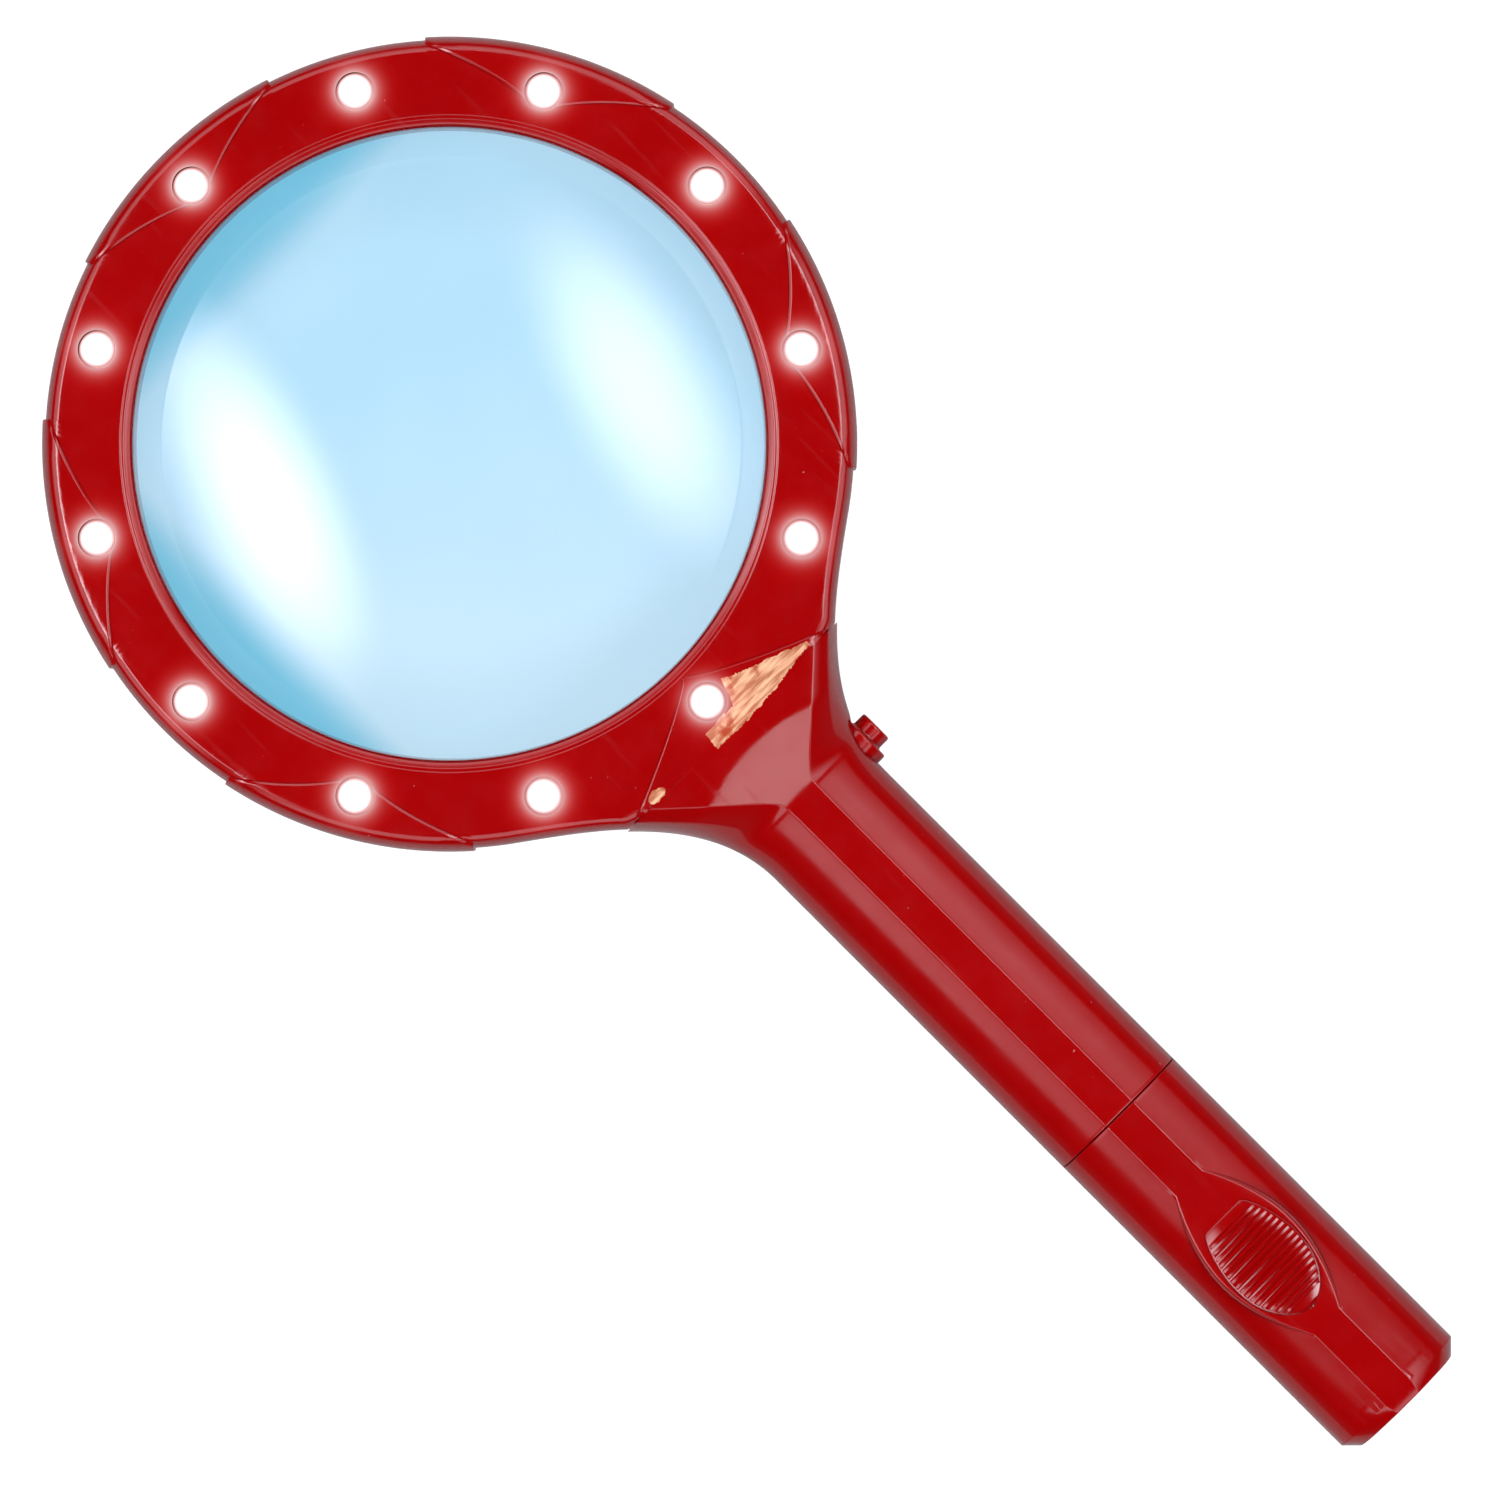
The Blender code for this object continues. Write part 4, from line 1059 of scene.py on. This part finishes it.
def cell_sleeve():
    """Shrink film over an AA cell: teal body, gold shoulder, silver band, bare metal ends."""
    made, tree, shader = new_material("cell_film", roughness=0.25)
    u, across, height = plan_place(tree)
    along = value(tree, "SUBTRACT", u, UPPER_CELL_TIP)
    along = value(tree, "FLOORED_MODULO", along, CELL_PITCH)
    up = value(tree, "SUBTRACT", value(tree, "MULTIPLY", height, 1 / MM), CELL_Z)
    radius = length(tree, across, up)
    past, before = value(tree, "GREATER_THAN", along, 11.0), value(tree, "LESS_THAN", along, 13.5)
    band = value(tree, "MULTIPLY", past, before)
    cloudy = ramp(tree, noise(tree, 300, 3), 0.3, 0.7)
    film = mix(tree, cloudy, (0.02, 0.12, 0.17), (0.025, 0.15, 0.21))
    film = mix(tree, value(tree, "LESS_THAN", along, 11.0), film, (0.5, 0.36, 0.1))
    film = mix(tree, band, film, (0.6, 0.6, 0.6))
    end, tip = value(tree, "LESS_THAN", radius, 5.6), value(tree, "LESS_THAN", along, 1.1)
    bare = value(tree, "MAXIMUM", end, tip)
    tree.links.new(mix(tree, bare, film, (0.62, 0.6, 0.55)), shader.inputs["Base Color"])
    tree.links.new(bare, shader.inputs["Metallic"])
    bump(tree, shader, noise(tree, 500, 2), 0.00002, 0.3)
    return made


def board_green():
    """Solder resist with wide copper tracks that show through it."""
    made, tree, shader = new_material("board_resist", roughness=0.35)
    distance = lamp_distance(tree, *plan_place(tree)[:2])
    wave = value(tree, "SINE", value(tree, "MULTIPLY", distance, 4.0))
    track = value(tree, "GREATER_THAN", wave, 0.3)
    cloudy = ramp(tree, noise(tree, 400, 3), 0.3, 0.7)
    resist = mix(tree, cloudy, (0.008, 0.09, 0.03), (0.012, 0.12, 0.04))
    tree.links.new(mix(tree, track, resist, (0.03, 0.2, 0.06)), shader.inputs["Base Color"])
    bump(tree, shader, track, 0.00003, 0.5)
    return made


def dress_frame():
    """Procedural materials for the CAD nodes that stay."""
    black = moulded("switch_black", (0.02, 0.02, 0.02), 0.4)
    nickel = metal("nickel_plate", (0.72, 0.69, 0.62), 0.25, 300)
    steel = metal("zinc_steel", (0.62, 0.63, 0.64), 0.3, 400)
    looks = {
        "lens_retaining_ring": moulded("clamp_black", (0.015, 0.015, 0.016), 0.5),
        "led_board": board_green(),
        "current_resistor": moulded("resistor_lacquer", (0.12, 0.32, 0.45), 0.35),
        "switch_housing": black,
        "switch_plunger": moulded("stem_white", (0.75, 0.75, 0.7), 0.35),
        "switch_spring": steel,
        "switch_terminal_1": steel,
        "switch_terminal_2": steel,
        "positive_contact": nickel,
        "tail_contact_plate": nickel,
        "return_strip": nickel,
        "red_wire": moulded("wire_red_pvc", (0.5, 0.015, 0.015), 0.4),
        "black_wire": moulded("wire_black_pvc", (0.015, 0.015, 0.015), 0.4),
        "switch_wire": moulded("wire_yellow_pvc", (0.7, 0.45, 0.02), 0.4),
    }
    for name, look in looks.items():
        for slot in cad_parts[name].material_slots:
            slot.material = look
    return nickel, steel


# ---------------------------------------------------------------- stage


def studio_floor():
    """A pale table that lights itself for the camera, and so looks as even as in a cut-out."""
    half = 4.0
    mesh = bpy.data.meshes.new("floor")
    corners = [(-half, -half, 0), (half, -half, 0), (half, half, 0), (-half, half, 0)]
    mesh.from_pydata(corners, [], [(0, 1, 2, 3)])
    floor = bpy.data.objects.new("floor", mesh)
    bpy.context.scene.collection.objects.link(floor)
    floor.location.z = -0.0001
    made, tree, shader = new_material("floor_paper", (0.9, 0.9, 0.9), 0.9)
    shader.inputs["Specular IOR Level"].default_value = 0.0
    paper = mix(tree, noise(tree, 60, 4), (0.33, 0.33, 0.33), (0.37, 0.37, 0.37))
    tree.links.new(paper, shader.inputs["Base Color"])
    path = tree.nodes.new("ShaderNodeLightPath")
    direct, through = path.outputs["Is Camera Ray"], path.outputs["Is Transmission Ray"]
    seen = value(tree, "MAXIMUM", direct, through)
    shader.inputs["Emission Color"].default_value = (1, 1, 1, 1)
    tree.links.new(value(tree, "MULTIPLY", seen, 0.78), shader.inputs["Emission Strength"])
    mesh.materials.append(made)


def soft_spot(tree, x, y, centre, size, turn):
    """1 in an ellipse of sky directions, which fades at its edge.

    centre and size are sines of angles from straight up, and turn is in degrees.
    """
    c, s = math.cos(math.radians(turn)), math.sin(math.radians(turn))
    dx = value(tree, "SUBTRACT", x, centre[0])
    dy = value(tree, "SUBTRACT", y, centre[1])
    wide, high = size
    a, b = value(tree, "MULTIPLY", dx, c / wide), value(tree, "MULTIPLY", dy, s / wide)
    first = value(tree, "ADD", a, b)
    a, b = value(tree, "MULTIPLY", dy, c / high), value(tree, "MULTIPLY", dx, s / high)
    far = length(tree, first, value(tree, "SUBTRACT", a, b))
    return ramp(tree, far, 0.1, 1.0, 1.0, 0.0)


def studio_sky():
    """White softboxes all round a dark ceiling, as the reflections see them.

    They stop where they would put a highlight on the handle towards its tail.
    """
    world = bpy.data.worlds.new("studio")
    bpy.context.scene.world = world
    world.use_nodes = True
    tree = world.node_tree
    place = tree.nodes.new("ShaderNodeTexCoord").outputs["Generated"]
    parts = tree.nodes.new("ShaderNodeSeparateXYZ")
    tree.links.new(place, parts.inputs[0])
    x, y, z = parts.outputs
    fall = value(tree, "ARCCOSINE", value(tree, "MINIMUM", z, 1.0))
    fall = value(tree, "MULTIPLY", fall, 180 / math.pi)
    starts = ramp(tree, fall, *BAND_STARTS)
    band = value(tree, "MULTIPLY", starts, ramp(tree, fall, *BAND_ENDS, 1.0, 0.0))
    level = value(tree, "MAXIMUM", length(tree, x, y), 0.001)
    towards = value(tree, "DIVIDE", x, level)
    wide = value(tree, "MULTIPLY", starts, ramp(tree, fall, 40, 62, 1.0, 0.0))
    wide = value(tree, "MULTIPLY", wide, ramp(tree, towards, 0.3, 0.85))
    aside = value(tree, "DIVIDE", y, level)
    near, far = ramp(tree, aside, -0.09, -0.03), ramp(tree, aside, -0.18, -0.32)
    opening = value(tree, "MULTIPLY", value(tree, "MAXIMUM", near, far), BAND_STRENGTH)
    light = value(tree, "MULTIPLY", value(tree, "MAXIMUM", band, wide), opening)
    low = ramp(tree, fall, 60, 88, 0.01, 0.12)
    low = value(tree, "MULTIPLY", low, ramp(tree, fall, 44, 50))
    light = value(tree, "ADD", light, low)
    for centre, size, turn, strength in SKY_SPOTS:
        spot = soft_spot(tree, x, y, centre, size, turn)
        light = value(tree, "ADD", light, value(tree, "MULTIPLY", spot, strength))
    light = value(tree, "MULTIPLY", light, value(tree, "GREATER_THAN", z, 0.0))
    backdrop = tree.nodes.new("ShaderNodeBackground")
    backdrop.inputs["Color"].default_value = (0.93, 0.93, 0.94, 1)
    boxes = tree.nodes["Background"]
    boxes.inputs["Color"].default_value = (1.0, 0.94, 1.0, 1)
    tree.links.new(light, boxes.inputs["Strength"])
    path = tree.nodes.new("ShaderNodeLightPath")
    chosen = tree.nodes.new("ShaderNodeMixShader")
    tree.links.new(path.outputs["Is Camera Ray"], chosen.inputs[0])
    tree.links.new(boxes.outputs[0], chosen.inputs[1])
    tree.links.new(backdrop.outputs[0], chosen.inputs[2])
    tree.links.new(chosen.outputs[0], tree.nodes["World Output"].inputs[0])
    world.cycles_visibility.transmission = False


def panel_light(shell):
    """A round softbox, placed for the neck's sloped panel to mirror, that lights only the shell."""
    lamp = bpy.data.lights.new("panel_light", "AREA")
    lamp.shape = "ELLIPSE"
    lamp.size, lamp.size_y = 0.34, 0.28
    lamp.energy = 3.1 * math.pi * lamp.size * lamp.size_y
    lamp.color = (0.93, 0.97, 1.0)
    obj = bpy.data.objects.new("panel_light", lamp)
    away = PANEL_LIGHT_AWAY.normalized()
    obj.location = at(66, 0, 19) + away * PANEL_LIGHT_DISTANCE
    obj.rotation_mode = "QUATERNION"
    obj.rotation_quaternion = away.to_track_quat("Z", "Y")
    bpy.context.scene.collection.objects.link(obj)
    lit = bpy.data.collections.new("panel_light_lit")
    lit.objects.link(shell)
    obj.light_linking.receiver_collection = lit


def ceiling_lights():
    """Four soft lamps that light all sides evenly and that the plastic hardly mirrors."""
    for index in range(4):
        lamp = bpy.data.lights.new(f"ceiling_{index}", "SUN")
        lamp.energy = 0.62
        lamp.angle = math.radians(12)
        obj = bpy.data.objects.new(f"ceiling_{index}", lamp)
        obj.rotation_euler = (math.radians(39), 0, math.radians(45 + 90 * index))
        obj.visible_glossy = False
        obj.visible_transmission = False
        bpy.context.scene.collection.objects.link(obj)


def camera():
    """Looks straight down, turned so that the handle points to the lower right."""
    data = bpy.data.cameras.new("camera")
    data.sensor_width = SENSOR
    data.lens = SENSOR * CAMERA_HEIGHT / VIEW_WIDTH
    data.clip_end = 20
    cam = bpy.data.objects.new("camera", data)
    bpy.context.scene.collection.objects.link(cam)
    x, y = VIEW_POINT
    cam.location = (x * MM, y * MM, CAMERA_HEIGHT + FACE_Z * MM)
    cam.rotation_euler = (0, 0, math.radians(VIEW_TURN))
    bpy.context.scene.camera = cam
    bpy.context.scene.view_settings.view_transform = "Standard"


def main():
    red = red_plastic()
    nickel, steel = dress_frame()
    shell = make_front(red)
    make_rear(red)
    make_cover(red)
    make_button(red)
    make_lens(clear_acrylic())
    make_lamps(lamp_epoxy())
    make_screws(steel)
    make_cells(cell_sleeve())
    make_contacts(nickel)
    studio_floor()
    studio_sky()
    ceiling_lights()
    panel_light(shell)
    camera()


main()
